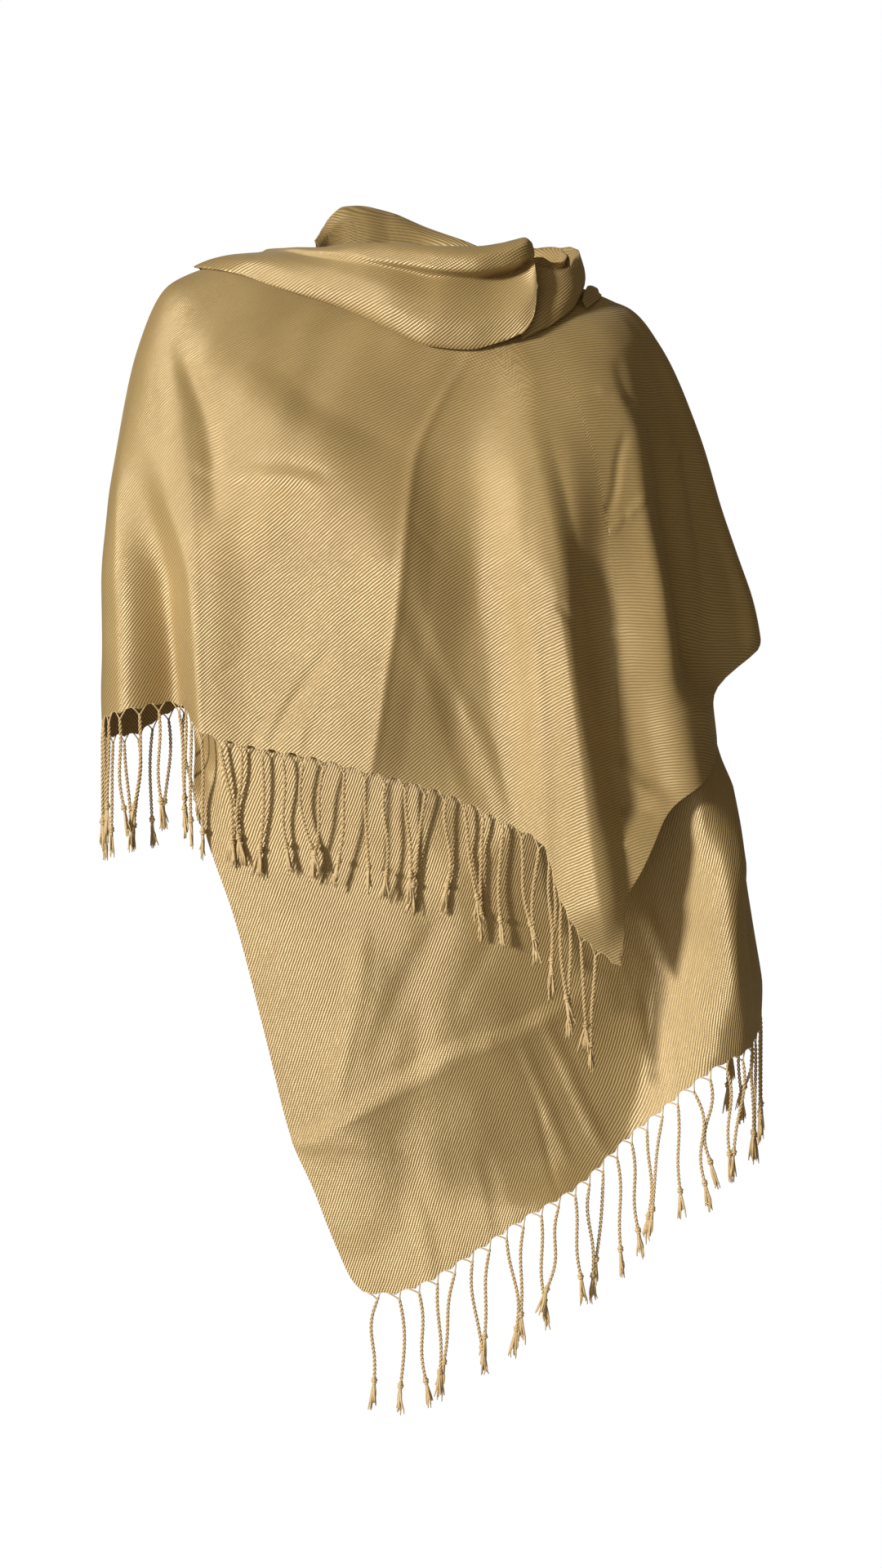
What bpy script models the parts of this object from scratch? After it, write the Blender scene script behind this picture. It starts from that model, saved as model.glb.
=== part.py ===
"""Pashmina shawl, worn wound once round the neck and open below.

One woven cloth with a knotted fringe at each end, modelled as a node for each stretch that shows.
Units are metres and +Z is up. The wearer would face -Y, so +X is the wearer's left. The origin lies
midway between the shoulders, at the base of the neck.

Every stretch is laid over one general figure: rings round a vertical axis, each with its own reach to
the front, left, right and back. A place on the figure is an azimuth (degrees round the axis, 0 at the
front and 90 on the right of a front view) and a drop (how far down the figure it lies, in metres).
"""

from collections import namedtuple
import math
import random

import bmesh
import bpy
import numpy as np

# Driving dimensions of the cloth
WALL = 0.0016  # thickness of the woven cloth
LAYER_GAP = 0.006  # between the middles of two layers that lie on each other
REACH_OF_RELIEF = 0.018  # an inner layer keeps clear of outer folds this far to each side
NECK_STANDOFF = 0.0035  # from the middle of a panel to the middle of the neck fold on it
TURNED_UNDER = 0.003  # the most that a neck fold's edge is turned under
TURN_OF_TUCK = 0.3  # and this share of the fold's tuck where that is less
CREST_ANGLE = 50  # an edge sharper than this many degrees is shown sharp

# Driving dimensions of the fringe
STRANDS = 46  # cords along each hem
STRIP_DEPTH = 0.004  # height of the strip that the roots are fused into
STRIP_GAP = 0.0005  # between a hem and its strip
CORD = 0.0026  # thickness of a twisted cord
CORD_LENGTH = 0.078  # from the hem to the knot
KNOT = 0.0046
KNOT_LENGTH = 0.006
BRUSH = 0.0056  # width of the loose end below the knot
BRUSH_LENGTH = 0.020
CORD_CLEARANCE = 0.006  # from the panel behind to a cord's middle
LEAN = 0.0035  # how far a cord's end strays from straight below its root
END_INSET = 0.0005  # the strip ends this far inside the hem's ends
MIN_CELL = 0.0008  # the strip's cells are at least this long

# The general figure
BACK_SQUARE = 2.4  # 2 gives elliptical rings, more gives squarer ones
Level = namedtuple(
    "Level", "drop front_y front_z left_x left_z right_x right_z back_y back_z front_square"
)
FIGURE = [
    Level(0.00, 0.078, 0.000, 0.100, 0.056, 0.130, 0.030, 0.072, 0.045, 2.4),
    Level(0.03, 0.095, -0.030, 0.165, 0.043, 0.172, 0.015, 0.095, 0.012, 2.4),
    Level(0.06, 0.108, -0.062, 0.212, 0.021, 0.200, 0.000, 0.106, -0.025, 2.5),
    Level(0.10, 0.121, -0.102, 0.234, -0.030, 0.219, -0.035, 0.115, -0.075, 2.8),
    Level(0.15, 0.131, -0.148, 0.250, -0.102, 0.240, -0.102, 0.121, -0.138, 3.2),
    Level(0.20, 0.136, -0.198, 0.262, -0.172, 0.253, -0.172, 0.125, -0.194, 3.7),
    Level(0.26, 0.138, -0.260, 0.268, -0.248, 0.263, -0.248, 0.127, -0.258, 4.2),
    Level(0.37, 0.137, -0.370, 0.268, -0.370, 0.278, -0.370, 0.128, -0.370, 4.3),
    Level(0.50, 0.138, -0.500, 0.255, -0.500, 0.303, -0.500, 0.133, -0.500, 4.0),
    Level(0.65, 0.135, -0.650, 0.240, -0.650, 0.322, -0.650, 0.132, -0.650, 3.3),
    Level(0.90, 0.125, -0.900, 0.220, -0.900, 0.330, -0.900, 0.125, -0.900, 2.8),
]

# The edges of the panels: places on the figure, in order along each edge
Place = namedtuple("Place", "azimuth drop")
FRONT_HEM = [
    Place(-125, 0.345),
    Place(-112, 0.362),
    Place(-104, 0.380),
    Place(-96, 0.380),
    Place(-82.5, 0.368),
    Place(-67.4, 0.352),
    Place(-61, 0.345),
    Place(-57.1, 0.349),
    Place(-53.1, 0.368),
    Place(-47.4, 0.378),
    Place(-31.4, 0.389),
    Place(-10, 0.404),
    Place(4, 0.413),
    Place(15.9, 0.423),
    Place(31.5, 0.445),
    Place(41.7, 0.467),
    Place(44.5, 0.507),
    Place(48.2, 0.541),
    Place(55.4, 0.574),
]
FRONT_SELVAGE = [
    Place(55.4, 0.574),
    Place(55.8, 0.516),
    Place(58.1, 0.487),
    Place(62.6, 0.436),
    Place(70.7, 0.401),
    Place(76.6, 0.372),
    Place(79.2, 0.338),
    Place(84.5, 0.305),
    Place(95, 0.294),
    Place(108, 0.280),
]
FRONT_CORNER = 60  # the selvage turns up steeply before this azimuth
NECKLINE = [
    Place(-125, 0.016),
    Place(-90, 0.018),
    Place(-72, 0.012),
    Place(-56, 0.002),
    Place(-30, 0.000),
    Place(-10, 0.002),
    Place(10, 0.014),
    Place(45, 0.016),
    Place(60, 0.014),
    Place(90, 0.015),
    Place(108, 0.018),
    Place(150, 0.022),
    Place(180, 0.026),
    Place(225, 0.025),
    Place(245, 0.029),
    Place(270, 0.030),
]

UNDER_HEM = [
    Place(-15, 0.860),
    Place(-5, 0.861),
    Place(6, 0.854),
    Place(24.9, 0.827),
    Place(40.5, 0.793),
    Place(52.7, 0.763),
    Place(61.7, 0.716),
    Place(70.4, 0.662),
    Place(82.6, 0.635),
    Place(95, 0.610),
    Place(104, 0.582),
    Place(125, 0.555),
    Place(150, 0.530),
]
UNDER_SELVAGE = [
    Place(-15, 0.860),
    Place(-19.9, 0.847),
    Place(-24.8, 0.818),
    Place(-31.5, 0.766),
    Place(-37.1, 0.722),
    Place(-42.4, 0.635),
    Place(-48.1, 0.527),
    Place(-52.2, 0.466),
    Place(-54.6, 0.418),
    Place(-57.9, 0.330),
    Place(-64.1, 0.220),
    Place(-76.9, 0.120),
    Place(-89.9, 0.060),
]
UNDER_TOP = [
    Place(-89.9, 0.060),
    Place(-89.9, 0.020),
    Place(-60, 0.010),
    Place(0, 0.012),
    Place(70, 0.020),
]
UNDER_FAR_SELVAGE = [
    Place(150, 0.530),
    Place(146, 0.400),
    Place(135, 0.280),
    Place(118, 0.170),
    Place(98, 0.080),
    Place(70, 0.020),
]

BACK_LOWER_EDGE = [
    Place(108.16, 0.280),
    Place(125, 0.310),
    Place(150, 0.395),
    Place(180, 0.452),
    Place(205, 0.448),
    Place(230, 0.400),
    Place(250, 0.345),
    Place(269.8, 0.315),
]

# The folds that fall down a panel: three places on the line, the width to each side, and the height
# at each place. A negative height is a trough.
Fold = namedtuple(
    "Fold",
    "name top_azimuth top_drop mid_azimuth mid_drop low_azimuth low_drop "
    "left_width right_width top_height mid_height low_height",
)
FRONT_FOLDS = [
    Fold("pressed middle", 8.5, 0.116, -1, 0.242, -11.5, 0.404, 0.130, 0.070, 0.000, 0.009, 0.010),
    Fold("bust", -58.5, 0.066, -32, 0.118, -8.5, 0.222, 0.110, 0.080, 0.003, 0.007, 0.003),
    Fold("neck hollow", 29.5, 0.066, 21, 0.114, 23.5, 0.172, 0.150, 0.080, -0.009, -0.011, -0.005),
    Fold("hollow beside it", 25, 0.158, 30, 0.270, 34.5, 0.446, 0.066, 0.048, -0.004, -0.007, -0.006),
    Fold("arm ridge", -66.5, 0.106, -55, 0.220, -54, 0.370, 0.030, 0.050, 0.002, 0.003, 0.003),
    Fold("arm trough", -69, 0.160, -60.5, 0.248, -59, 0.384, 0.046, 0.034, -0.004, -0.027, -0.038),
    Fold("shoulder trough", -67.5, 0.084, -61, 0.108, -53, 0.168, 0.026, 0.024, -0.002, -0.003, -0.001),
    Fold("broad ridge", 42.5, 0.142, 45.5, 0.256, 52.5, 0.512, 0.076, 0.024, 0.004, 0.015, 0.016),
    Fold("deep trough", 57, 0.146, 54, 0.272, 58, 0.418, 0.040, 0.062, -0.005, -0.017, -0.014),
    Fold("middle ridge", 61, 0.200, 62, 0.280, 66, 0.406, 0.026, 0.018, -0.001, -0.001, 0.004),
    Fold("outer trough", 73, 0.128, 70.5, 0.206, 72, 0.304, 0.044, 0.034, -0.006, -0.019, -0.020),
    Fold("elbow ridge", 86, 0.090, 84.5, 0.200, 84, 0.300, 0.034, 0.096, 0.008, 0.028, 0.048),
]
UNDER_FOLDS = [
    Fold("broad fall", 62, 0.440, 62.5, 0.548, 58.5, 0.742, 0.205, 0.048, -0.024, -0.038, -0.032),
    Fold("side trough", 64.5, 0.420, 64, 0.520, 61, 0.670, 0.074, 0.024, -0.007, -0.008, -0.003),
    Fold("side ridge", 78.5, 0.430, 71.5, 0.536, 73.5, 0.638, 0.026, 0.026, 0.004, 0.009, 0.008),
    Fold("edge trough", 94, 0.380, 95, 0.500, 96, 0.660, 0.026, 0.030, -0.008, -0.018, -0.020),
    Fold("far ridge", 105, 0.360, 105, 0.500, 106, 0.640, 0.030, 0.050, 0.004, 0.012, 0.014),
    Fold("left roll", -11.5, 0.482, -16, 0.618, -19, 0.784, 0.125, 0.060, 0.001, 0.006, 0.005),
]
BACK_FOLDS = [
    Fold("right drape", 124, 0.06, 128, 0.20, 132, 0.42, 0.05, 0.04, 0.003, 0.010, 0.012),
    Fold("right trough", 136, 0.06, 144, 0.20, 150, 0.46, 0.04, 0.04, -0.004, -0.011, -0.012),
    Fold("middle drape", 158, 0.08, 164, 0.24, 170, 0.48, 0.05, 0.05, 0.002, 0.009, 0.012),
    Fold("middle trough", 184, 0.08, 192, 0.24, 198, 0.48, 0.05, 0.05, -0.002, -0.009, -0.011),
    Fold("left drape", 216, 0.06, 222, 0.22, 226, 0.46, 0.05, 0.06, 0.003, 0.009, 0.011),
]

# The creases that cross the under panel, with the same columns turned round
Crease = namedtuple(
    "Crease",
    "name left_azimuth left_drop mid_azimuth mid_drop right_azimuth right_drop "
    "upper_width lower_width left_height mid_height right_height",
)
UNDER_CREASES = [
    Crease("packing crease", -40, 0.742, 3, 0.700, 42, 0.622, 0.045, 0.018, 0.005, 0.005, 0.004),
]
FADE = 0.045  # a fold runs out over this length past its ends

# Where one layer passes below another, as azimuths and as distances below the front panel's edge
BACK_TUCKED = (180, 225)  # the back panel sinks below the front panel over these azimuths
UNDER_BEHIND = (100, 112)  # the under panel sinks below the back panel over these azimuths
UNDER_COMES_OUT = (0.012, 0.075)  # and comes out from below the front panel over these distances
UNDER_REST = 0.003  # the under panel's middle surface lies this far inside the figure
EDGE_ABOVE_CORDS = UNDER_SELVAGE[8].azimuth  # from here round, the upper cords hang before a panel

# The neck folds: each station joins a lower edge on the figure to a point on the top of the roll
Station = namedtuple(
    "Station",
    "edge_azimuth edge_drop edge_inset edge_rise top_x top_y top_z belly groove roll tuck "
    "inward inner_drop",
)
# The section of a neck fold: shares of the way from edge to top, of the belly and of the groove
Swell = namedtuple("Swell", "way belly groove roll")
NECK_SWELLS = [
    Swell(0.2, 0.85, 0.00, 0.00),
    Swell(0.42, 1.00, 0.20, 0.00),
    Swell(0.6, 0.80, 0.60, 0.00),
    Swell(0.7, 0.65, 0.95, 0.00),
    Swell(0.728, 0.60, 0.80, 0.40),
    Swell(0.745, 0.55, 0.25, 0.85),
    Swell(0.87, 0.35, 0.00, 1.00),
]
TOP_TURN = (0.6, 0.2)  # shares of the inward reach and of the inner drop halfway inside the roll
NECK_FRONT = [
    Station(-143.7, 0.054, 0.000, 0.000, -0.0744, 0.0876, 0.050, 0.008, 0.000, 0.005, 0.004, 0.008, 0.018),
    Station(-128, 0.047, 0.000, 0.000, -0.092, 0.064, 0.0525, 0.006, 0.000, 0.004, 0.003, 0.009, 0.020),
    Station(-110, 0.041, 0.000, 0.000, -0.101, 0.034, 0.0535, 0.005, 0.000, 0.003, 0.003, 0.011, 0.024),
    Station(-90, 0.041, 0.000, 0.000, -0.100, -0.005, 0.0530, 0.006, 0.000, 0.003, 0.003, 0.014, 0.030),
    Station(-73, 0.029, 0.000, 0.000, -0.088, -0.032, 0.0545, 0.008, 0.000, 0.003, 0.006, 0.016, 0.034),
    Station(-58, 0.018, 0.000, 0.000, -0.070, -0.050, 0.0560, 0.010, 0.000, 0.003, 0.008, 0.018, 0.036),
    Station(-37, 0.010, 0.000, 0.000, -0.045, -0.068, 0.0590, 0.012, 0.000, 0.004, 0.010, 0.020, 0.038),
    Station(-20, 0.013, 0.000, 0.000, -0.024, -0.077, 0.0590, 0.012, 0.002, 0.004, 0.012, 0.022, 0.040),
    Station(-7, 0.020, 0.000, 0.000, -0.002, -0.083, 0.0585, 0.011, 0.006, 0.005, 0.014, 0.024, 0.040),
    Station(14, 0.033, 0.000, 0.000, 0.032, -0.089, 0.0565, 0.009, 0.010, 0.008, 0.016, 0.026, 0.040),
    Station(30, 0.037, 0.000, 0.000, 0.062, -0.089, 0.0560, 0.007, 0.014, 0.011, 0.016, 0.026, 0.040),
    Station(41, 0.038, -0.001, 0.001, 0.083, -0.085, 0.0585, 0.005, 0.017, 0.012, 0.014, 0.024, 0.038),
    Station(47.5, 0.039, -0.005, 0.005, 0.098, -0.080, 0.0620, 0.004, 0.016, 0.012, 0.008, 0.018, 0.032),
    Station(51, 0.038, -0.008, 0.016, 0.1060, -0.076, 0.0640, 0.003, 0.012, 0.011, 0.006, 0.014, 0.026),
    Station(52.5, 0.036, -0.008, 0.030, 0.1105, -0.074, 0.0610, 0.002, 0.006, 0.008, 0.004, 0.010, 0.020),
    Station(53.2, 0.035, -0.007, 0.040, 0.1130, -0.073, 0.0555, 0.001, 0.001, 0.004, 0.002, 0.006, 0.012),
]
NECK_SIDE = [
    Station(50, 0.040, 0.003, 0.000, 0.098, -0.052, 0.0300, 0.003, 0.000, 0.000, 0.003, 0.006, 0.014),
    Station(55, 0.038, 0.001, 0.000, 0.115, -0.062, 0.0400, 0.005, 0.000, 0.000, 0.003, 0.007, 0.020),
    Station(62, 0.035, 0.000, 0.000, 0.132, -0.063, 0.0370, 0.005, 0.000, 0.000, 0.004, 0.007, 0.020),
    Station(70, 0.029, 0.000, 0.000, 0.146, -0.055, 0.0385, 0.004, 0.000, 0.000, 0.004, 0.008, 0.020),
    Station(80, 0.021, 0.000, 0.000, 0.1545, -0.035, 0.0480, 0.003, 0.000, 0.000, 0.004, 0.008, 0.024),
    Station(92, 0.019, 0.000, 0.000, 0.1545, -0.003, 0.0560, 0.003, 0.000, 0.000, 0.004, 0.009, 0.026),
    Station(105, 0.024, 0.000, 0.000, 0.147, 0.028, 0.0595, 0.005, 0.000, 0.000, 0.004, 0.009, 0.028),
    Station(122, 0.034, 0.000, 0.000, 0.132, 0.060, 0.0600, 0.008, 0.000, 0.004, 0.004, 0.008, 0.026),
    Station(140, 0.046, 0.000, 0.000, 0.106, 0.082, 0.0600, 0.009, 0.000, 0.005, 0.005, 0.008, 0.022),
    Station(156, 0.054, 0.000, 0.000, 0.073, 0.097, 0.0590, 0.010, 0.000, 0.005, 0.006, 0.0102, 0.020),
    Station(172, 0.058, 0.000, 0.000, 0.036, 0.105, 0.0570, 0.011, 0.000, 0.006, 0.006, 0.0102, 0.018),
    Station(188, 0.061, 0.000, 0.000, -0.006, 0.107, 0.0550, 0.011, 0.000, 0.006, 0.006, 0.0102, 0.018),
    Station(203, 0.059, 0.000, 0.000, -0.044, 0.101, 0.0520, 0.010, 0.000, 0.005, 0.005, 0.0102, 0.018),
    Station(216.0, 0.054, 0.000, 0.000, -0.0736, 0.0884, 0.050, 0.008, 0.000, 0.005, 0.004, 0.008, 0.018),
]
NECK_BACK = [
    Station(146, 0.016, 0.0033, 0.000, 0.084, 0.066, 0.0520, 0.002, 0.000, 0.000, 0.003, 0.010, 0.026),
    Station(163, 0.019, -0.0007, 0.000, 0.054, 0.081, 0.0660, 0.003, 0.000, 0.000, 0.003, 0.013, 0.034),
    Station(180, 0.019, -0.0007, 0.000, 0.020, 0.088, 0.0790, 0.004, 0.000, 0.000, 0.003, 0.015, 0.040),
    Station(197, 0.018, 0.0003, 0.000, -0.014, 0.087, 0.0925, 0.005, 0.000, 0.000, 0.003, 0.017, 0.046),
    Station(210, 0.016, 0.007, 0.000, -0.041, 0.080, 0.0980, 0.006, 0.000, 0.000, 0.003, 0.018, 0.050),
    Station(217, 0.014, 0.010, 0.000, -0.054, 0.076, 0.0970, 0.005, 0.000, 0.000, 0.003, 0.016, 0.048),
    Station(223, 0.012, 0.012, 0.000, -0.0635, 0.0715, 0.0910, 0.004, 0.000, 0.000, 0.003, 0.012, 0.044),
    Station(229, 0.010, 0.014, 0.000, -0.0725, 0.0650, 0.0790, 0.003, 0.000, 0.000, 0.003, 0.008, 0.036),
    Station(235, 0.010, 0.016, 0.000, -0.0805, 0.0550, 0.0660, 0.002, 0.000, 0.000, 0.003, 0.006, 0.028),
]

# The layer that shows inside the side roll: its upper edge, and how far it reaches down and inwards
INNER_ROLL_EDGE = [
    (0.110, -0.040, 0.047),
    (0.121, -0.032, 0.0485),
    (0.132, -0.021, 0.044),
    (0.140, -0.008, 0.045),
    (0.1445, 0.009, 0.051),
    (0.1395, 0.0267, 0.056),
]
INNER_ROLL_DEPTH = 0.018
INNER_ROLL_SLANT = 0.005

# The pleat on the shoulder: a place at its root and at its tip, and its height
PLEAT_ROOT = Place(72, 0.036)
PLEAT_TIP = Place(92, 0.031)
PLEAT_HEIGHT = 0.011
PLEAT_OUTLINE = [(0.0, 0.56), (0.25, 0.93), (0.45, 1.0), (0.7, 0.80), (1.0, 0.30)]
PLEAT_REST = 0.0021  # from the middle of the front panel to the pleat's
PLEAT_LIFT = 0.004  # how far its leaf stands off further up

# Grid of each piece: cells along, cells across
FRONT_HEM_CELLS = 46
FRONT_SELVAGE_CELLS = 17
PANEL_ROWS = 12
UNDER_CELLS = (34, 17)
BACK_CELLS = 26
NECK_FRONT_CELLS = (28, 14)
NECK_SIDE_CELLS = (24, 9)
NECK_BACK_CELLS = (16, 8)
INNER_ROLL_CELLS = (9, 3)
PLEAT_CELLS = (8, 3)


def table_slopes(knots, values):
    """Slopes at a table's rows that keep a curve through them from swinging past them."""
    gaps = np.diff(knots).reshape((-1,) + (1,) * (values.ndim - 1))
    rises = np.diff(values, axis=0) / gaps
    before = rises[:-1]
    after = rises[1:]
    turns = before * after <= 0
    total = np.where(turns, 1.0, before + after)
    inside = np.where(turns, 0.0, 2 * before * after / total)
    return np.concatenate([rises[:1], inside, rises[-1:]])


def smooth_value(knots, values, at):
    """Values between rows of a table, on a smooth curve through them."""
    knots = np.asarray(knots, dtype=float)
    values = np.asarray(values, dtype=float)
    at = np.clip(np.asarray(at, dtype=float), knots[0], knots[-1])
    slopes = table_slopes(knots, values)
    cell = np.clip(np.searchsorted(knots, at, side="right") - 1, 0, len(knots) - 2)
    width = knots[cell + 1] - knots[cell]
    t = (at - knots[cell]) / width
    if values.ndim > 1:
        t = t[..., None]
        width = width[..., None]
    rise = t * t * (3 - 2 * t)
    start_pull = t * (1 - t) * (1 - t) * width
    end_pull = -t * t * (1 - t) * width
    return (
        values[cell] * (1 - rise)
        + values[cell + 1] * rise
        + slopes[cell] * start_pull
        + slopes[cell + 1] * end_pull
    )


def smooth_step(low, high, at):
    """0 below low, 1 above high and an even rise between."""
    t = np.clip((at - low) / (high - low), 0, 1)
    return t * t * (3 - 2 * t)


def level_value(column, drop):
    """One column of the figure's table at any drop."""
    return smooth_value([row.drop for row in FIGURE], [getattr(row, column) for row in FIGURE], drop)


def figure_point(azimuth, drop):
    """The bare figure's surface at a place."""
    angle = np.radians(azimuth)
    sideways = np.sin(angle)
    forwards = np.cos(angle)
    on_left = sideways < 0
    in_front = forwards > 0
    reach_x = np.where(on_left, level_value("left_x", drop), level_value("right_x", drop))
    reach_y = np.where(in_front, level_value("front_y", drop), level_value("back_y", drop))
    square = np.where(in_front, level_value("front_square", drop), BACK_SQUARE)
    side_share = np.abs(sideways / reach_x) ** square
    face_share = np.abs(forwards / reach_y) ** square
    radius = (side_share + face_share) ** (-1 / square)
    side_share = side_share / (side_share + face_share)
    side_z = np.where(on_left, level_value("left_z", drop), level_value("right_z", drop))
    face_z = np.where(in_front, level_value("front_z", drop), level_value("back_z", drop))
    height = side_z * side_share + face_z * (1 - side_share)
    return np.stack([radius * sideways, -radius * forwards, height], axis=-1)


def figure_normal(azimuth, drop):
    """The outward normal of the bare figure at a place."""
    turn = 0.5
    step = 0.002
    inner_drop = np.maximum(drop, step)
    around = figure_point(azimuth + turn, inner_drop) - figure_point(azimuth - turn, inner_drop)
    down = figure_point(azimuth, inner_drop + step) - figure_point(azimuth, inner_drop - step)
    normal = np.cross(down, around)
    return normal / np.linalg.norm(normal, axis=-1, keepdims=True)


def girth_table():
    """Azimuths with their distance round the figure from the front, measured at the chest."""
    azimuths = np.arange(-180.0, 361.0, 1.0)
    ring = figure_point(azimuths, np.full_like(azimuths, 0.30))
    steps = np.linalg.norm(np.diff(ring, axis=0), axis=1)
    around = np.concatenate([[0.0], np.cumsum(steps)])
    return azimuths, around - np.interp(0.0, azimuths, around)


AZIMUTHS, AROUND = girth_table()


def around_of(azimuth):
    """Metres round the figure from the front, for an azimuth."""
    return np.interp(azimuth, AZIMUTHS, AROUND)


def azimuth_of(around):
    """The azimuth, for metres round the figure from the front."""
    return np.interp(around, AROUND, AZIMUTHS)


def hump(distance):
    """A soft ridge: 1 in the middle and 0 from a distance of 1."""
    return np.clip(1 - distance * distance, 0, 1) ** 2


def run_height(along, stops, heights):
    """A fold's height along its line, fading out past both ends."""
    knots = [stops[0] - FADE, *stops, stops[-1] + FADE]
    return smooth_value(knots, [0.0, *heights, 0.0], along)


def relief(azimuth, drop, folds, creases=()):
    """How far the folds lift a panel off the figure at a place."""
    around = around_of(azimuth)
    total = np.zeros_like(around)
    for fold in folds:
        stops = [fold.top_drop, fold.mid_drop, fold.low_drop]
        line = around_of([fold.top_azimuth, fold.mid_azimuth, fold.low_azimuth])
        offset = around - smooth_value(stops, line, drop)
        width = np.where(offset < 0, fold.left_width, fold.right_width)
        heights = [fold.top_height, fold.mid_height, fold.low_height]
        total = total + run_height(drop, stops, heights) * hump(offset / width)
    for crease in creases:
        stops = around_of([crease.left_azimuth, crease.mid_azimuth, crease.right_azimuth])
        line = [crease.left_drop, crease.mid_drop, crease.right_drop]
        offset = drop - smooth_value(stops, line, around)
        width = np.where(offset < 0, crease.upper_width, crease.lower_width)
        heights = [crease.left_height, crease.mid_height, crease.right_height]
        total = total + run_height(around, list(stops), heights) * hump(offset / width)
    return total


def front_edge_drop(azimuth):
    """How far down the front panel reaches at an azimuth."""
    edge = FRONT_HEM + [place for place in FRONT_SELVAGE if place.azimuth > FRONT_CORNER]
    return np.interp(azimuth, [place.azimuth for place in edge], [place.drop for place in edge])


def lowest_relief(azimuth, drop, folds):
    """The lowest relief of an outer layer near a place, which the layer inside it stays below."""
    around = around_of(azimuth)
    shares = (-1.0, -0.5, 0.0, 0.5, 1.0)
    near = [relief(azimuth_of(around + share * REACH_OF_RELIEF), drop, folds) for share in shares]
    return np.min(near, axis=0)


def front_point(azimuth, drop):
    """The front panel's middle surface."""
    lift = relief(azimuth, drop, FRONT_FOLDS)
    return figure_point(azimuth, drop) + figure_normal(azimuth, drop) * lift[..., None]


def back_lift(azimuth, drop):
    """The back panel's height: level with the front panel on the right, below it on the left."""
    same_place = np.where(azimuth > 180, azimuth - 360, azimuth)
    lift = relief(azimuth, drop, BACK_FOLDS) + relief(same_place, drop, FRONT_FOLDS)
    tucked = LAYER_GAP * smooth_step(*BACK_TUCKED, azimuth)
    return lift - tucked


def back_point(azimuth, drop):
    """The back panel's middle surface."""
    lift = back_lift(azimuth, drop)
    return figure_point(azimuth, drop) + figure_normal(azimuth, drop) * lift[..., None]


def under_lift(azimuth, drop):
    """The under panel's height: its own folds where it shows, and below the outer layers elsewhere."""
    own = relief(azimuth, drop, UNDER_FOLDS, UNDER_CREASES) - UNDER_REST
    outer = lowest_relief(azimuth, drop, FRONT_FOLDS)
    outer = np.minimum(outer, lowest_relief(azimuth, drop, BACK_FOLDS))
    hidden = np.minimum(own, outer - LAYER_GAP)
    edge = front_edge_drop(azimuth)
    nearest, farthest = UNDER_COMES_OUT
    covered = 1 - smooth_step(edge + nearest, edge + farthest, drop)
    covered = np.maximum(covered, smooth_step(*UNDER_BEHIND, azimuth))
    return own * (1 - covered) + hidden * covered


def under_point(azimuth, drop):
    """The under panel's middle surface."""
    lift = under_lift(azimuth, drop)
    return figure_point(azimuth, drop) + figure_normal(azimuth, drop) * lift[..., None]


def edge_curve(places, shares):
    """Places at even shares of the way along an edge, as metres around and drop."""
    rows = np.array([(around_of(place.azimuth), place.drop) for place in places], dtype=float)
    steps = np.linalg.norm(np.diff(rows, axis=0), axis=1)
    way = np.concatenate([[0.0], np.cumsum(steps)])
    return smooth_value(way / way[-1], rows, shares)


def patch_places(low_edge, high_edge, start_edge, end_edge, cells):
    """A grid of places that fills the space between four edges of a panel."""
    along = np.linspace(0, 1, cells[0] + 1)
    across = np.linspace(0, 1, cells[1] + 1)
    low = edge_curve(low_edge, along)[:, None]
    high = edge_curve(high_edge, along)[:, None]
    start = edge_curve(start_edge, across)[None]
    end = edge_curve(end_edge, across)[None]
    u = along[:, None, None]
    v = across[None, :, None]
    corners = (
        (1 - u) * (1 - v) * low[0, 0]
        + u * (1 - v) * low[-1, 0]
        + (1 - u) * v * high[0, 0]
        + u * v * high[-1, 0]
    )
    grid = (1 - v) * low + v * high + (1 - u) * start + u * end - corners
    return azimuth_of(grid[..., 0]), np.maximum(grid[..., 1], 0.0)


def wall_mesh(name, points):
    """A closed wall of the cloth's thickness along a grid of points on its middle surface."""
    along = np.gradient(points, axis=0)
    across = np.gradient(points, axis=1)
    normal = np.cross(along, across)
    normal /= np.linalg.norm(normal, axis=-1, keepdims=True)
    rows, columns = points.shape[:2]
    first = (points + normal * WALL / 2).reshape(-1, 3)
    second = (points - normal * WALL / 2).reshape(-1, 3)
    vertices = np.concatenate([first, second]).tolist()
    far = rows * columns

    def at(row, column):
        return row * columns + column

    faces = []
    for row in range(rows - 1):
        for column in range(columns - 1):
            cell = [
                at(row, column),
                at(row + 1, column),
                at(row + 1, column + 1),
                at(row, column + 1),
            ]
            faces.append(cell)
            faces.append([far + corner for corner in reversed(cell)])
    rim = [at(row, 0) for row in range(rows)]
    rim += [at(rows - 1, column) for column in range(1, columns)]
    rim += [at(row, columns - 1) for row in range(rows - 2, -1, -1)]
    rim += [at(0, column) for column in range(columns - 2, 0, -1)]
    for start, end in zip(rim, rim[1:] + rim[:1]):
        faces.append([end, start, far + start, far + end])
    mesh = bpy.data.meshes.new(name)
    mesh.from_pydata(vertices, [], faces)
    return mesh


def cloth_material(name, colour):
    """A plain woven cloth in one colour."""
    material = bpy.data.materials.get(name)
    if material:
        return material
    material = bpy.data.materials.new(name)
    material.use_nodes = True
    shader = material.node_tree.nodes["Principled BSDF"]
    shader.inputs["Base Color"].default_value = (*colour, 1.0)
    shader.inputs["Roughness"].default_value = 0.55
    shader.inputs["Metallic"].default_value = 0.0
    return material


def add_piece(name, mesh, material, holder):
    """An object for one node, smooth but for its rims."""
    mesh.materials.append(material)
    mesh.validate()
    mesh.shade_smooth()
    mesh.set_sharp_from_angle(angle=math.radians(CREST_ANGLE))
    piece = bpy.data.objects.new(name, mesh)
    bpy.context.collection.objects.link(piece)
    piece.parent = holder
    return piece


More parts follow.
